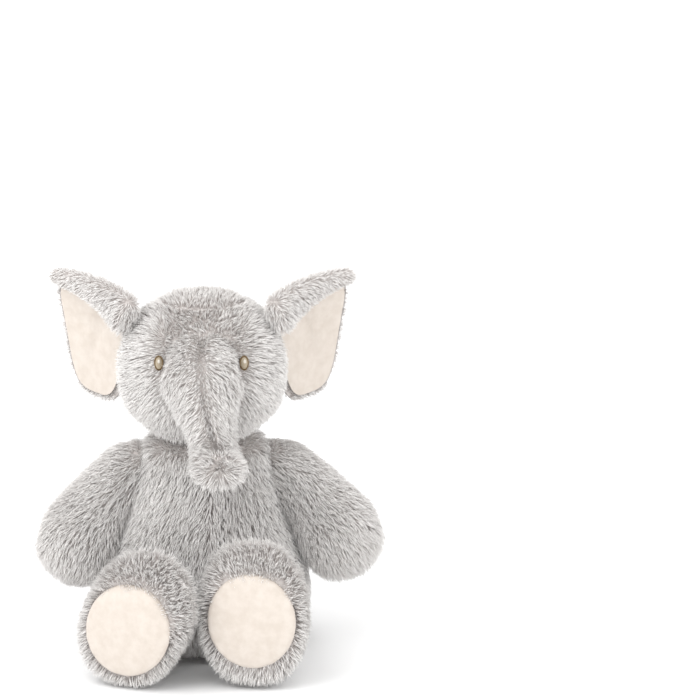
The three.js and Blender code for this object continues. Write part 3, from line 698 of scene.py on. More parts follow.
# %% Eye places
EYE_APART, EYE_UP, EYE_FRONT = 73.0, 75.0, -62.0
eyes = {}
for name, sign in (("left", 1), ("right", -1)):
    wanted = head_point(sign * EYE_APART / 2, EYE_FRONT, EYE_UP)
    nearest = np.argmin(np.linalg.norm(head.skin - wanted, axis=1))
    eyes[name] = (head.skin[nearest] * [0, 1, 0] + wanted * [1, 0, 1], head.normals[nearest])
    print(name, "eye at", np.round(1000 * eyes[name][0], 1))


def ramp(value, start, width):
    """0 up to the start, then rising to 1 over the width."""
    return np.clip((value - start) / width, 0, 1)


def clear_of_eyes(points):
    """0 in an eye, 1 well away from both."""
    gaps = [np.linalg.norm((points - spot) / [1, 2, 1.2], axis=1) for spot, normal in eyes.values()]
    return ramp(np.min(gaps, axis=0), 4.5 * MM, 8 * MM)


# %% [markdown]
# ## Trunk
# Two panels meet in a groove down the front, and the end is gathered to a pucker. The trunk's form
# stands before the pile of the head, because that pile has to be short where the trunk is sewn on.
# On the head the pile spreads from the top of the trunk over the cheeks, is short and nappy on the
# brow, and is trimmed at the eyes. On the trunk it parts at the groove and spreads out from the
# pucker like a rosette.

# %% Trunk form
TRUNK_STATIONS = [
    (0, -50, 82, 31, 22), (0, -64, 61, 38.5, 30), (3.5, -72, 36, 30.5, 25),
    (9, -74, 12, 23, 21), (13, -84, -6, 25, 20), (15.5, -94, -10, 25.5, 21)]
TRUNK_LEANS = (58, 44, 22, 22, 58, 84)
TRUNK_RADIUS = 26 * MM
GROOVE_END = 0.97  # the share of the trunk's length at which the groove stops
STITCH = (12, -97, 14)
trunk = stuffed_form(TRUNK_STATIONS, (20, 9), leans=TRUNK_LEANS, steps=9).moved(HEAD_PLACE)
trunk_tip = trunk.corners[-1]
from_front = np.abs(trunk.angle - math.pi / 2)
groove_gap = np.where(trunk.share > GROOVE_END, 1.0, from_front * TRUNK_RADIUS)
to_tip = np.linalg.norm(trunk.corners - trunk_tip, axis=1)
trunk_skin = skin("trunk_skin", trunk, np.minimum(groove_gap, to_tip), groove=5.0 * MM)


def trunk_distance(points):
    """How far points lie outside the trunk's skin; less than nothing inside it."""
    tree = KDTree(len(trunk.skin))
    for i, corner in enumerate(trunk.skin):
        tree.insert(corner, i)
    tree.balance()
    nearest = [tree.find(point)[1] for point in points]
    away = points - trunk.skin[nearest]
    inside = (away * trunk.normals[nearest]).sum(1) < 0
    return np.linalg.norm(away, axis=1) * np.where(inside, -1, 1)


# %% Head pile
MUZZLE_TOP = (0, -74, 78)
head_comb = unit(head.corners - head_point(*MUZZLE_TOP)) * 0.9 + [0, 0, -0.3]
head_comb += wander(head.corners, 18 * MM, 1, 0.22)
eye_room = clear_of_eyes(head.corners)
brow = ramp(hz, 78 * MM, 14 * MM) * (1 - ramp(np.abs(hx), 30 * MM, 20 * MM))
brow *= ramp(-hy, -70 * MM, 60 * MM)
head_comb *= (1 - 0.75 * brow)[:, None]
head_comb += brow[:, None] * wander(head.corners, 5 * MM, 1, 0.7)
off_trunk = trunk_distance(head.corners)
trunk_room = ramp(off_trunk, 1 * MM, 13 * MM)
head_long = (1 - 0.36 * brow) * (0.3 + 0.7 * eye_room) * (0.25 + 0.75 * trunk_room)
head_lift = 1 + 0.6 * brow
head_thick = np.where((eye_room > 0.02) & (off_trunk > -3 * MM), 1.0, 0.0)
# The head's pile is painted darker next to the trunk: painted shade along the trunk's sides.
head_tone = mottled(head.corners, 14 * MM, 4) - 0.6 * (1 - trunk_room) ** 2 + 0.2 * brow


def in_gusset(middles):
    x, y, z = middles.T
    return (np.abs(x) < GUSSET_HALF) & ~under_chin(y, z)


panels = {
    "head_gusset": in_gusset,
    "head_side_left": lambda middles: ~in_gusset(middles) & (middles[:, 0] > 0),
    "head_side_right": lambda middles: ~in_gusset(middles) & (middles[:, 0] <= 0),
}
piles = {}
for seed, (name, test) in enumerate(panels.items(), 10):
    chosen = faces_where(head, test, head_local)
    piles[name] = pile(name + "_pile", head, chosen, head_comb, head_long, head_thick, head_tone,
                       head_lift, seed=seed, Length=0.0115,
                       Gather=0.7 if name == "head_gusset" else 0.38)

# %% Trunk pile
to_hole = np.linalg.norm(trunk.corners - head_point(*STITCH), axis=1)
to_hole -= to_hole.min()
part_side = np.sign(math.pi / 2 - trunk.angle)[:, None] * X
parted = near(groove_gap, 11 * MM)[:, None]
rosette = near(to_tip, 26 * MM)[:, None]
spread_side = part_side * np.abs(np.cos(trunk.angle))[:, None]
downward = (0.4 + 0.25 * ramp(trunk.share, 0, 0.3))[:, None]
trunk_comb = (trunk.along * downward + 0.85 * parted * part_side + 0.5 * spread_side) * (1 - rosette)
trunk_comb += 1.1 * rosette * unit(trunk.corners - trunk_tip - trunk.along * 3 * MM)
trunk_comb += wander(trunk.corners, 14 * MM, 5, 0.18)
trunk_long = 1 - 0.45 * near(groove_gap, 5 * MM) - 0.35 * near(to_tip, 9 * MM)
trunk_long *= 0.4 + 0.6 * clear_of_eyes(trunk.corners)
trunk_long *= 1 - 0.6 * near(to_hole, 4 * MM)
trunk_thick = np.where((groove_gap < 2.2 * MM) | (to_tip < 1.5 * MM), 0.1, 1.0)
trunk_thick = np.where(to_hole < 2 * MM, 0.0, trunk_thick)
trunk_tone = mottled(trunk.corners, 12 * MM, 8)
# The tone is painted darker in the groove and at the stitch hole: painted shade in these hollows.
trunk_tone -= 0.9 * near(groove_gap, 3.5 * MM) + 0.9 * near(to_hole, 4 * MM)
for seed, (name, is_left) in enumerate((("trunk_left", True), ("trunk_right", False)), 20):
    chosen = [face for face in trunk.faces
              if (np.cos(trunk.angle[list(face)]).mean() > 0) == is_left]
    piles[name] = pile(name + "_pile", trunk, chosen, trunk_comb, trunk_long, trunk_thick,
                       trunk_tone, seed=seed, Length=0.0105)

# %% [markdown]
# ## Body
# A pear of four panels, flat where it sits. The front seam shows as a soft parting in the pile.

# %% Body form
BODY_SIZE = (186, 164, 206)
BODY_PROFILE = [(-0.05, 0.66, 0.68), (0.02, 0.83, 0.85), (0.11, 0.95, 0.97), (0.22, 1.0, 1.0),
                (0.36, 0.965, 0.95), (0.5, 0.87, 0.86), (0.63, 0.77, 0.75), (0.76, 0.69, 0.66),
                (0.88, 0.62, 0.60)]
SEAT_CLEAR = 1.2 * MM
body = stuffed_form(
    [(0, 5 - 15 * up, up * BODY_SIZE[2], wide * BODY_SIZE[0] / 2, deep * BODY_SIZE[1] / 2)
     for up, wide, deep in BODY_PROFILE], (8, 24.7), facing=Z, around=96, steps=6)
bx, by, bz = body.corners.T
body_seam = np.minimum(np.abs(bx), np.abs(by))
body_skin = skin("body_skin", body, body_seam, cap=3.5 * MM, groove=0.8 * MM)


def set_on_floor(form, piece):
    """Flattens a skin where it rests, with room for the pile under it."""
    form.skin[:, 2] = np.maximum(form.skin[:, 2], SEAT_CLEAR)
    set_corners(piece.data, form.skin)
    form.normals = normals_of(piece.data)


set_on_floor(body, body_skin)

# %% Body pile
half_wide, half_deep = BODY_SIZE[0] / 2 * MM, BODY_SIZE[1] / 2 * MM
body_comb = np.stack([0.35 * bx / half_wide, 0.2 * by / half_deep, -np.ones(len(bx))], 1) * 0.85
body_comb += np.sign(bx)[:, None] * near(bx, 12 * MM)[:, None] * [0.35, 0, 0]
body_comb += wander(body.corners, 20 * MM, 31, 0.3)
on_seat = 1 - ramp(bz, 2 * MM, 12 * MM)
body_long = 1 - 0.6 * on_seat
body_thick = np.where(bz > 192 * MM, 0.35, 1.0) * (1 - 0.6 * on_seat)
body_tone = mottled(body.corners, 16 * MM, 34)
quarters = {"body_front_left": (1, -1), "body_front_right": (-1, -1),
            "body_back_left": (1, 1), "body_back_right": (-1, 1)}
for seed, (name, (sx, sy)) in enumerate(quarters.items(), 30):
    chosen = faces_where(body, lambda m: (m[:, 0] * sx > 0) & (m[:, 1] * sy > 0))
    piles[name] = pile(name + "_pile", body, chosen, body_comb, body_long, body_thick,
                       body_tone, seed=seed, Length=0.0122)

# %% [markdown]
# ## Arms
# Two bags that hang from the shoulders and widen into mitten paws.

# %% Arms
ARM_STATIONS = [(-1, -8, -99, 37, 35), (3, -5, -81.6, 39, 37), (7, -2, -52.8, 34, 33.5),
                (8, 0, -21.1, 29.5, 29), (4, 0, 0, 26.5, 26)]
ARM_HANG = {"left": 45, "right": 40}
ARM_SEAM = 6 * MM
SHOULDER = (52.08, -4, 163)
SIDES = {"left": 1, "right": -1}
arm_local = stuffed_form(ARM_STATIONS, (29, 20), steps=8)
limbs = {}


def shifted(*mm):
    return Matrix.Translation(Vector(mm) * MM)


for side_name, sign in SIDES.items():
    place = shifted(sign * SHOULDER[0], *SHOULDER[1:]) @ Matrix.Rotation(
        math.radians(-sign * ARM_HANG[side_name]), 4, "Y") @ Matrix.Diagonal((sign, 1, 1, 1))
    arm = arm_local.moved(place)
    arm_seam = np.abs(arm_local.corners[:, 0] - ARM_SEAM)
    limbs[f"arm_{side_name}"] = skin(f"arm_{side_name}_skin", arm, arm_seam)
    arm_comb = -arm.along * 0.8 + wander(arm.corners, 16 * MM, 41, 0.25)
    arm_tone = mottled(arm.corners, 14 * MM, 44)
    at_root = ramp(arm_local.corners[:, 2], 0, 12 * MM)
    for seed, half in enumerate(("outer", "inner"), 40 + 2 * (sign > 0)):
        chosen = faces_where(arm, lambda m: (m[:, 0] > ARM_SEAM) == (half == "outer"), arm_local)
        name = f"arm_{side_name}_{half}"
        piles[name] = pile(name + "_pile", arm, chosen, arm_comb, 1 - 0.5 * at_root, 1.0,
                           arm_tone, seed=seed, Length=0.0118)

# %% [markdown]
# ## Legs and foot pads
# A leg widens to a big flat sole. The sole is an oval of velour, drawn in by its seam and pushed
# out in the middle by the filling. The pile round it stands forward and frames it.

# %% Leg forms
LEG_LENGTH, LEG_THICK, FOOT = 84, 60, (98, 134)
LEG_RISE = FOOT[1] / 2 - LEG_THICK / 2
PAD_HALF = (39.2, 43.5)
PAD_RISE = {"left": LEG_RISE - 4, "right": LEG_RISE - 9}
LEG_SPLAY = {"left": -7, "right": 22}
FOOT_ROLL = {"left": 0, "right": -28}
HIP = (49.98, -63.88, 31)
SOLE = -70 * MM  # how far forward the flat sole starts
PAD_FRONT, PAD_CROWN, PAD_TUCK = 79.0, 4.0, 2.5
GATHERS, GATHER_HIGH = 17, 0.55


def leg_form(roll):
    def station(share, up, half, deep):
        return (-math.sin(roll) * up * LEG_RISE, -share * LEG_LENGTH,
                math.cos(roll) * up * LEG_RISE, half, deep)
    wide, high = FOOT[0] / 2, FOOT[1] / 2
    stations = [
        station(0, 0, 0.53 * LEG_THICK, 0.49 * LEG_THICK),
        station(0.25, 0, 0.57 * LEG_THICK, 0.5 * LEG_THICK),
        station(0.47, 0.4, 0.8 * wide, 0.7 * high), station(0.66, 0.93, 0.98 * wide, 0.97 * high),
        station(0.83, 1, wide, high), station(0.93, 1, 0.9 * wide, 0.9 * high)]
    return stuffed_form(stations, (27, 5.9), facing=-Y, roll=lambda u: roll * min(1, 2 * u),
                        around=80, steps=7)


def pad_mesh(name, roll, rise, place):
    """A crowned oval on the sole, with small gathers where it is sewn in."""
    rings, around = 22, 96
    corners, faces = [(0, 0, 0)], []
    for r in range(1, rings + 1):
        rho = r / rings
        for k in range(around):
            a = 2 * math.pi * k / around
            crown = PAD_CROWN * (1 - rho**2.6)
            wave = math.sin(GATHERS * a + 1.3 * math.sin(3 * a))
            gather = GATHER_HIGH * near(1 - rho, 0.13) * wave * (0.6 + 0.4 * math.sin(5 * a + 1))
            tuck = PAD_TUCK * max(0, (rho - 0.93) / 0.07) ** 2
            corners.append((rho * PAD_HALF[0] * math.cos(a), -(PAD_FRONT + crown + gather - tuck),
                            rho * PAD_HALF[1] * math.sin(a)))
    for k in range(around):
        nxt = (k + 1) % around
        faces.append((0, 1 + k, 1 + nxt))
        for r in range(rings - 1):
            a, b = 1 + r * around, 1 + (r + 1) * around
            faces.append((a + k, b + k, b + nxt, a + nxt))
    corners = np.array(corners) * MM
    corners[0, 1] = corners[1:around + 1, 1].mean() - 0.1 * MM
    turn = Matrix.Rotation(-roll, 4, "Y")
    shift = shifted(-math.sin(roll) * rise, 0, math.cos(roll) * rise)
    empty = np.zeros(len(corners))
    form = Form(corners, faces, np.zeros_like(corners), empty, empty).moved(place @ shift @ turn)
    piece = show(name, mesh_of(name, form, velour_material))
    rim = np.zeros(len(corners))
    rim[-2 * around:] = 1.0
    inflated(piece, rim, 2.0 * MM)
    solid = piece.modifiers.new("felt", "SOLIDIFY")
    solid.thickness = 2.0 * MM
    solid.offset = -1
    finer = piece.modifiers.new("finer", "SUBSURF")
    finer.levels = finer.render_levels = 1
    return piece


# %% Legs
pads = {}
for side_name, sign in SIDES.items():
    roll = math.radians(-sign * FOOT_ROLL[side_name])
    place = shifted(sign * HIP[0], *HIP[1:]) @ Matrix.Rotation(
        math.radians(sign * LEG_SPLAY[side_name]), 4, "Z")
    leg_local = leg_form(roll)
    leg = leg_local.moved(place)
    lx, ly, _ = leg_local.corners.T
    leg_seam = np.where(ly > SOLE - 4 * MM, np.abs(lx), 1.0)
    limbs[f"leg_{side_name}"] = skin(f"leg_{side_name}_skin", leg, leg_seam)
    set_on_floor(leg, limbs[f"leg_{side_name}"])
    rise = PAD_RISE[side_name]
    middle = np.array([-math.sin(roll) * rise, 0, math.cos(roll) * rise]) * MM
    rel = leg_local.corners - middle
    flat_x = rel[:, 0] * math.cos(roll) + rel[:, 2] * math.sin(roll)
    flat_z = rel[:, 2] * math.cos(roll) - rel[:, 0] * math.sin(roll)
    pad_share = np.hypot(flat_x / (PAD_HALF[0] * MM), flat_z / (PAD_HALF[1] * MM))
    on_pad = (ly < SOLE) & (pad_share < 1.02)
    turn3 = np.array(place)[:3, :3]
    radial = unit(np.stack([rel[:, 0], 0 * ly, rel[:, 2]], 1)) @ turn3.T
    forward_share = ramp(-ly, 58 * MM, 18 * MM)[:, None]
    forward = np.array([0, -1, 0]) @ turn3.T
    leg_comb = leg.along * 0.75 * (1 - forward_share) + forward_share * (0.8 * radial
                                                                         + 0.35 * forward)
    leg_comb += wander(leg.corners, 16 * MM, 51, 0.22) + [0, 0, -0.15]
    low = 1 - ramp(leg.corners[:, 2], 0, 10 * MM)
    root_share = ramp(ly, -4 * MM, 20 * MM)
    at_pad = near(np.maximum(pad_share - 1, 0), 0.09) * (ly < SOLE)
    leg_long = (1 - 0.4 * low) * (1 - 0.5 * root_share) * (1 - 0.45 * at_pad)
    # The pile is painted darker in a ring round the pad: painted shade where the pad sits sunk in
    # its pile.
    leg_tone = mottled(leg.corners, 14 * MM, 54) - 0.5 * at_pad
    for seed, half in enumerate(("outer", "inner"), 50 + 2 * (sign > 0)):
        want_positive = (half == "outer") == (sign > 0)
        chosen = [face for face in leg.faces if not on_pad[list(face)].all()
                  and (leg_local.corners[list(face), 0].mean() > 0) == want_positive]
        name = f"leg_{side_name}_{half}"
        piles[name] = pile(name + "_pile", leg, chosen, leg_comb, leg_long,
                           np.where(on_pad, 0.0, 1.0), leg_tone, seed=seed, Length=0.0118)
    pads[side_name] = pad_mesh(f"pad_{side_name}_velour", roll, rise, place)
print(pile_triangles, "pile triangles so far")

# %% [markdown]
# ## Ears
# Each ear is a rounded D of plush, lined with velour in front. The plush is folded over the top
# edge as a soft roll, and the lining has a shallow crease where the ear bends.

# %% Ear forms
EAR_LENGTH, EAR_FLARE, EAR_HEIGHT, EAR_THICK = 77.0, 18.0, 112.0, 6.0
EAR_OUT, EAR_MIDDLE, EAR_SWEEP, EAR_RISE = 71.0, 40.0, 40, 0.1
EAR_ROLL, EAR_FOLD = 11.0, 17.0
EAR_HINGE = (70.5, -4, 76)
EAR_SQUARE = 3.6
ROLL_LINE = [(-0.76, 0.88), (-0.42, 0.97), (0, 1.0), (0.38, 0.96)]


def rounded(value, square):
    return np.sign(value) * np.abs(value) ** (2 / square)


def ear_outline(angle, edge):
    up = rounded(np.sin(angle), EAR_SQUARE)
    outer = EAR_OUT - EAR_MIDDLE + 0.36 * EAR_FLARE * up - edge
    inner = EAR_OUT - EAR_MIDDLE - EAR_LENGTH - 0.64 * EAR_FLARE * up + edge
    u = inner + (outer - inner) * (1 + rounded(np.cos(angle), EAR_SQUARE)) / 2
    return u, (EAR_HEIGHT / 2 - edge) * up + EAR_RISE * u


def ear_cup(u, w):
    across, up = u / EAR_MIDDLE, w / (EAR_HEIGHT / 2)
    return 9 * (1 - 0.5 * across**2 - 0.5 * up**2) - 5 * up


def ear_crease(u, w):
    """How deep the lining folds in, in a line from the top of the ear to its root."""
    off_line = (u + 0.35 * w + 8) / 6.0
    off_root = (w - 0.45 * u - 6) / 5.0
    return (4.0 * np.exp(-off_line**2) * np.clip((w + 40) / 60, 0, 1)
            + 2.2 * np.exp(-off_root**2) * np.clip(1 - np.abs(u) / 34, 0, 1))


def ear_form(edge, thick, forward, crease, around=72, rings=26):
    """A thin rounded bag from its outline: rho runs 0 to 1 to 0 over front, edge and back."""
    corners, faces = [], []
    turn = np.linspace(0, 2 * math.pi, around, endpoint=False)
    for r in range(rings + 1):
        polar = math.pi * r / rings
        rho, side = math.sin(polar), -math.cos(polar)
        u, w = ear_outline(turn, edge)
        u, w = u * rho, w * rho
        y = ear_cup(u, w) - forward + side * thick / 2
        if crease:
            y = y + ear_crease(u, w) * (side < 0.2) * rho**0.2
        ring = np.stack([u, y, w], 1)
        corners.append(ring[:1] if r in (0, rings) else ring)
    corners = np.vstack(corners)
    last = len(corners) - 1
    for k in range(around):
        nxt = (k + 1) % around
        faces.append((0, 1 + k, 1 + nxt))
        for r in range(rings - 2):
            a, b = 1 + r * around, 1 + (r + 1) * around
            faces.append((a + k, b + k, b + nxt, a + nxt))
        low = last - around
        faces.append((last, low + nxt, low + k))
    empty = np.zeros(len(corners))
    return Form(corners * MM, faces, np.zeros_like(corners), empty, empty)


def no_inflation(name, form, depth, material=backing_material):
    mesh = mesh_of(name, form, material)
    set_corners(mesh, form.corners - normals_of(mesh) * depth)
    form.skin, form.normals = corners_of(mesh), normals_of(mesh)
    return show(name, mesh)


# %% Ears
ears = {}
for side_name, sign in SIDES.items():
    hinge = HEAD_PLACE @ shifted(sign * EAR_HINGE[0], *EAR_HINGE[1:])
    place = hinge @ Matrix.Rotation(math.radians(sign * EAR_SWEEP), 4, "Z") @ shifted(
        sign * EAR_MIDDLE, 0, 0) @ Matrix.Diagonal((sign, 1, 1, 1))
    turn3 = np.array(place)[:3, :3]
    back_local = ear_form(edge=0, thick=EAR_THICK, forward=0, crease=False)
    back = back_local.moved(place)
    limbs[f"ear_{side_name}"] = no_inflation(f"ear_{side_name}_skin", back, 1.2 * MM)
    u, y, w = back_local.corners.T / MM
    up = (w - EAR_RISE * u) / (EAR_HEIGHT / 2)
    rho = np.maximum(u / (EAR_OUT - EAR_MIDDLE + 0.36 * EAR_FLARE * up), np.abs(up))
    is_front = (y - ear_cup(u, w)) < -0.35
    edge_share = ramp(rho, 0.8, 0.2)
    ear_comb = (np.stack([0.45 + 0 * u, 0 * u, 0.25 * up - 0.25], 1) + edge_share[:, None]
                * np.stack([0.3 + 0 * u, -0.45 + 0 * u, 0.5 * up], 1)) @ turn3.T
    ear_comb += wander(back.corners, 14 * MM, 61, 0.2)
    ear_tone = mottled(back.corners, 12 * MM, 64)
    hidden = is_front & (rho < 0.84)
    chosen = [face for face in back.faces if not hidden[list(face)].all()]
    piles[f"ear_{side_name}"] = pile(
        f"ear_{side_name}_back_pile", back, chosen, ear_comb, np.where(is_front, 0.6, 1.0),
        np.where(hidden, 0.0, 1.0), ear_tone, seed=60 + (sign > 0), Length=0.0098)
    # the roll along the top
    stations = []
    for i, (a, b) in enumerate(ROLL_LINE):
        half, deep = EAR_ROLL * (1 - 0.14 * i), EAR_FOLD * (1 - 0.19 * i)
        stations.append((
            a * EAR_LENGTH, ear_cup(a * EAR_LENGTH, b * EAR_HEIGHT / 2) - 0.5 * EAR_ROLL,
            b * (EAR_HEIGHT / 2 - 4) + EAR_RISE * a * EAR_LENGTH + half - deep, half, deep))
    fold_local = stuffed_form(stations, (6, 5), side=Y, around=32, steps=5)
    fold = fold_local.moved(place)
    limbs[f"fold_{side_name}"] = no_inflation(f"ear_{side_name}_fold_skin", fold, 2.5 * MM)
    fold_comb = (np.array([0.3, -0.3, -0.5]) + fold.share[:, None] * [0.5, 0, 0.1]) @ turn3.T
    fold_comb += wander(fold.corners, 12 * MM, 66, 0.2)
    piles[f"fold_{side_name}"] = pile(
        f"ear_{side_name}_fold_pile", fold, fold.faces, fold_comb, 0.95 - 0.4 * fold.share,
        tone=0.55, seed=70 + (sign > 0), Length=0.0095)
    lining = ear_form(edge=5.0, thick=3.4, forward=4.4, crease=True, rings=34).moved(place)
    ears[side_name] = show(f"ear_{side_name}_lining_velour",
                           mesh_of(f"ear_{side_name}_lining_velour", lining, velour_material))

# %% [markdown]
# ## Eyes
# Each eye is satin stitch: threads laid side by side across an oval, a ring of slanted stitches
# round it and a small white patch for the highlight. One tree lays the threads, one the ring.


# %% Stitch trees
def build_satin_tree():
    """Threads side by side across an oval in XZ that bulges towards -Y."""
    tree, at, to = new_group(
        "satin_stitches", "GeometryNodeTree",
        [("Geometry", "NodeSocketGeometry", None), ("Count", "NodeSocketInt", 20),
         ("Half width", VALUE, 0.006), ("Half height", VALUE, 0.0075), ("Thread", VALUE, 0.0004),
         ("Bulge", VALUE, 0.0012), ("Material", "NodeSocketMaterial", None)],
        [("Geometry", "NodeSocketGeometry", None)])
    wide, high = at["Half width"], at["Half height"]
    low = add(tree, "ShaderNodeCombineXYZ", {2: math_node(tree, "MULTIPLY", high, -0.97)})
    top = add(tree, "ShaderNodeCombineXYZ", {2: math_node(tree, "MULTIPLY", high, 0.97)})
    line = add(tree, "GeometryNodeMeshLine", {"Count": at["Count"], "Start Location": low,
                                              "Offset": top}, out="Mesh", mode="END_POINTS")
    here = add(tree, "GeometryNodeInputPosition")
    spot = add(tree, "ShaderNodeSeparateXYZ", {0: here}, out=None)
    up = math_node(tree, "DIVIDE", spot.outputs[2], high)
    chord = math_node(tree, "SQRT", math_node(tree, "SUBTRACT", 1.0,
                                              math_node(tree, "MULTIPLY", up, up)))
    length = math_node(tree, "MULTIPLY", math_node(tree, "MULTIPLY", chord, wide), 2.0)
    length = math_node(tree, "MULTIPLY", length, random_number(tree, 4, 0.94, 1.04))
    thread = add(tree, "GeometryNodeMeshCylinder",
                 {"Vertices": 6, "Side Segments": 8, "Radius": at["Thread"], "Depth": 1.0},
                 out="Mesh", fill_type="NGON")
    scale = add(tree, "ShaderNodeCombineXYZ", {0: 1.0, 1: 1.0, 2: length})
    laid = add(tree, "GeometryNodeInstanceOnPoints",
               {"Points": line, "Instance": thread, "Rotation": (0, math.pi / 2, 0),
                "Scale": scale})
    laid = add(tree, "GeometryNodeRealizeInstances", {0: laid})
    across = math_node(tree, "DIVIDE", spot.outputs[0], wide)
    from_middle = math_node(tree, "ADD", math_node(tree, "MULTIPLY", up, up),
                            math_node(tree, "MULTIPLY", across, across))
    inside = math_node(tree, "SUBTRACT", 1.0, from_middle)
    bulge = math_node(tree, "MULTIPLY", math_node(tree, "MAXIMUM", inside, 0.0), at["Bulge"])
    offset = add(tree, "ShaderNodeCombineXYZ", {1: math_node(tree, "MULTIPLY", bulge, -1.0)})
    laid = add(tree, "GeometryNodeSetPosition", {"Geometry": laid, "Offset": offset})
    laid = add(tree, "GeometryNodeSetMaterial", {"Geometry": laid, "Material": at["Material"]})
    tree.links.new(laid, to["Geometry"])
    return tree


def build_ring_tree():
    """Slanted stitches round an oval in XZ."""
    tree, at, to = new_group(
        "ring_stitches", "GeometryNodeTree",
        [("Geometry", "NodeSocketGeometry", None), ("Count", "NodeSocketInt", 40),
         ("Half width", VALUE, 0.006), ("Half height", VALUE, 0.0075), ("Thread", VALUE, 0.0004),
         ("Stitch", VALUE, 0.0022), ("Slant", VALUE, 0.5), ("Material", "NodeSocketMaterial", None)],
        [("Geometry", "NodeSocketGeometry", None)])
    circle = add(tree, "GeometryNodeMeshCircle", {"Vertices": at["Count"], "Radius": 1.0},
                 fill_type="NONE")
    here = add(tree, "ShaderNodeSeparateXYZ", {0: add(tree, "GeometryNodeInputPosition")}, out=None)
    cosine, sine = here.outputs[0], here.outputs[1]
    place = add(tree, "ShaderNodeCombineXYZ",
                {0: math_node(tree, "MULTIPLY", cosine, at["Half width"]),
                 2: math_node(tree, "MULTIPLY", sine, at["Half height"])})
    lay = math_node(tree, "ARCTAN2",
                    math_node(tree, "MULTIPLY",
                              math_node(tree, "MULTIPLY", sine, at["Half width"]), -1.0),
                    math_node(tree, "MULTIPLY", cosine, at["Half height"]))
    turned = add(tree, "ShaderNodeCombineXYZ", {1: math_node(tree, "ADD", lay, at["Slant"])})
    circle = stored(tree, circle, "lay", turned, "FLOAT_VECTOR")
    ring = add(tree, "GeometryNodeSetPosition", {"Geometry": circle, "Position": place})
    thread = add(tree, "GeometryNodeMeshCylinder",
                 {"Vertices": 6, "Side Segments": 2, "Radius": at["Thread"], "Depth": at["Stitch"]},
                 out="Mesh", fill_type="NGON")
    laid = add(tree, "GeometryNodeInstanceOnPoints",
               {"Points": ring, "Instance": thread, "Rotation": named(tree, "lay", "FLOAT_VECTOR")})
    laid = add(tree, "GeometryNodeRealizeInstances", {0: laid})
    laid = add(tree, "GeometryNodeRemoveAttribute", {"Geometry": laid, "Name": "lay"})
    laid = add(tree, "GeometryNodeSetMaterial", {"Geometry": laid, "Material": at["Material"]})
    tree.links.new(laid, to["Geometry"])
    return tree


satin_tree, ring_tree = build_satin_tree(), build_ring_tree()


def stitched(name, tree, place, **settings):
    base = show(name + "_base", bpy.data.meshes.new(name + "_base"))
    mesh = with_modifier(base, tree, {k.replace("_", " "): v for k, v in settings.items()})
    bpy.data.objects.remove(base)
    mesh.transform(place)
    mesh.name = name
    for face in mesh.polygons:
        face.use_smooth = True
    return show(name, mesh)


# %% Eyes
EYE_LIFT = 3.2 * MM
EYE_FILL, EYE_RING, EYE_BED = (3.1 * MM, 5.4 * MM), (3.3 * MM, 5.7 * MM), (3.0 * MM, 5.2 * MM)
BAG_HALF = (39 * MM, 51 * MM)
eye_pieces = {}
for side_name, (spot, normal) in eyes.items():
    look = unit(normal * [0.5, 1, 0.5])
    face = Vector(-look).to_track_quat("Y", "Z").to_matrix().to_4x4()
    place = Matrix.Translation(Vector(spot + look * EYE_LIFT)) @ face
    stitches = [
        stitched(f"eye_{side_name}_fill", satin_tree, place, Count=26, Half_width=EYE_FILL[0],
                 Half_height=EYE_FILL[1], Thread=0.34 * MM, Bulge=1.4 * MM, Material=eye_material),
        stitched(f"eye_{side_name}_outline", ring_tree, place, Count=46, Half_width=EYE_RING[0],
                 Half_height=EYE_RING[1], Thread=0.5 * MM, Stitch=2.4 * MM, Slant=0.55,
                 Material=outline_material),
        stitched(f"eye_{side_name}_highlight", satin_tree,
                 place @ Matrix.Translation(Vector((0.3, -1.4, 1.6)) * MM), Count=9,
                 Half_width=1.2 * MM, Half_height=1.6 * MM, Thread=0.3 * MM, Bulge=0.3 * MM,
                 Material=highlight_material)]
    # a padded bed under the threads, so that no pile shows between them: the ear's bag, shrunk
    bed_form = ear_form(edge=0, thick=1.0, forward=0, crease=False, around=32, rings=12)
    bed_form.corners *= [EYE_BED[0] / BAG_HALF[0], 0, EYE_BED[1] / BAG_HALF[1]]
    rise = np.clip(1 - (bed_form.corners[:, 0] / EYE_BED[0]) ** 2
                   - (bed_form.corners[:, 2] / EYE_BED[1]) ** 2, 0, 1)
    is_front = np.arange(len(rise)) < len(rise) / 2
    bed_form.corners[:, 1] = np.where(is_front, -1.3 * MM * rise, 3.5 * MM * np.sqrt(rise))
    bed = show(f"eye_{side_name}_bed", mesh_of(f"eye_{side_name}_bed", bed_form.moved(place),
                                               eye_material))
    eye_pieces[side_name] = [*stitches, bed]

# %% [markdown]
# ## Tail and neck stitches
# The tail is a short cord of plush with a fuller tuft at its end. The neck is closed by hand with
# a ladder of stitches that mostly sinks into the pile.

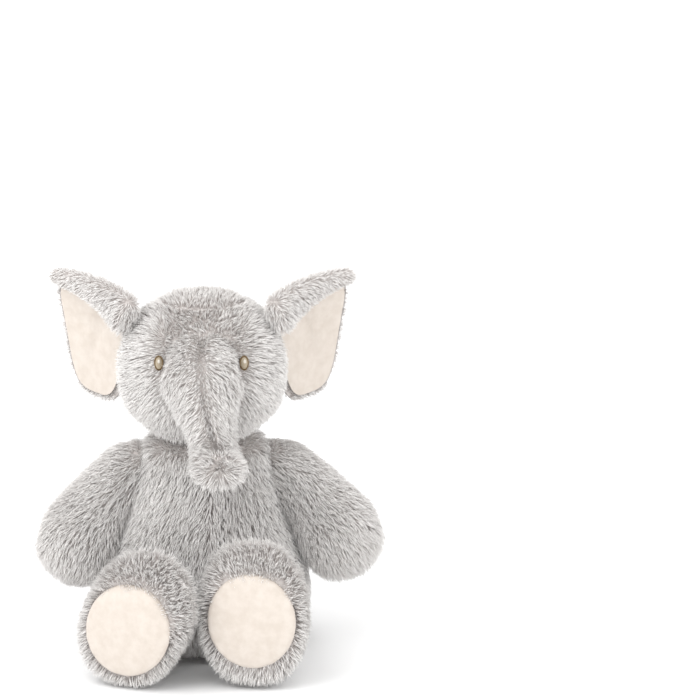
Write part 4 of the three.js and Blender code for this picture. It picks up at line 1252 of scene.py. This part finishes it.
# %% Tail and neck
tail = stuffed_form([(0, 83.5, 58, 5.5, 5.5), (0, 90.5, 39.5, 5.5, 5.5), (0, 93.5, 24.4, 9.5, 9.5)],
                    (4, 13.4), around=32, steps=10)
tail_skin = no_inflation("tail_skin", tail, 2.5 * MM)
tail_comb = tail.along * 0.9 + wander(tail.corners, 9 * MM, 71, 0.2)
tail_pile = pile("tail_pile", tail, tail.faces, tail_comb, 0.55 + 0.45 * tail.share, tone=0.45,
                 seed=80, Length=0.0105)
neck_place = shifted(0, -10, 196.5) @ Matrix.Rotation(math.pi / 2, 4, "X")
neck_stitches = stitched("neck_stitches", ring_tree, neck_place, Count=64, Half_width=31 * MM,
                         Half_height=28 * MM, Thread=0.5 * MM, Stitch=5 * MM, Slant=0.9,
                         Material=seam_material)

# %% [markdown]
# ## Joining the pieces to the CAD bodies
# Each piece rides on the body whose CAD nodes it stands for, and those nodes are hidden.

# %% Rides
def join_body(body_name, replaces, pieces):
    for piece in pieces:
        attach(piece, body_name)
    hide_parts(*replaces)


join_body("head", ["head_gusset", "head_side_left", "head_side_right", "head_filling"],
          [head_skin])
join_body("trunk", ["trunk_left", "trunk_right", "trunk_filling"], [trunk_skin])
join_body("body", [f"body_{part}" for part in (
    "front_left", "front_right", "back_left", "back_right", "seat", "filling")] + ["pellet_bag"],
    [body_skin])
for name in panels:
    join_body("head", [], [piles[name]])
for name in ("trunk_left", "trunk_right"):
    join_body("trunk", [], [piles[name]])
for name in quarters:
    join_body("body", [], [piles[name]])
for side_name in SIDES:
    for limb in ("arm", "leg"):
        limb_body = f"{limb}_{side_name}"
        halves = [f"{limb_body}_outer", f"{limb_body}_inner"]
        join_body(limb_body, halves + [f"{limb_body}_filling"], [limbs[limb_body]])
        for name in halves:
            join_body(limb_body, [], [piles[name]])
    join_body(f"leg_{side_name}", [f"pad_{side_name}"], [pads[side_name]])
    ear_body = f"ear_{side_name}"
    join_body(ear_body, [f"{ear_body}_back"],
              [limbs[ear_body], piles[ear_body], limbs[f"fold_{side_name}"],
               piles[f"fold_{side_name}"]])
    join_body(ear_body, [f"{ear_body}_lining"], [ears[side_name]])
    join_body("head", [f"eye_{side_name}"], eye_pieces[side_name])
join_body("tail", ["tail"], [tail_skin, tail_pile])
join_body("neck", ["neck_seam"], [neck_stitches])
print(pile_triangles, "pile triangles")
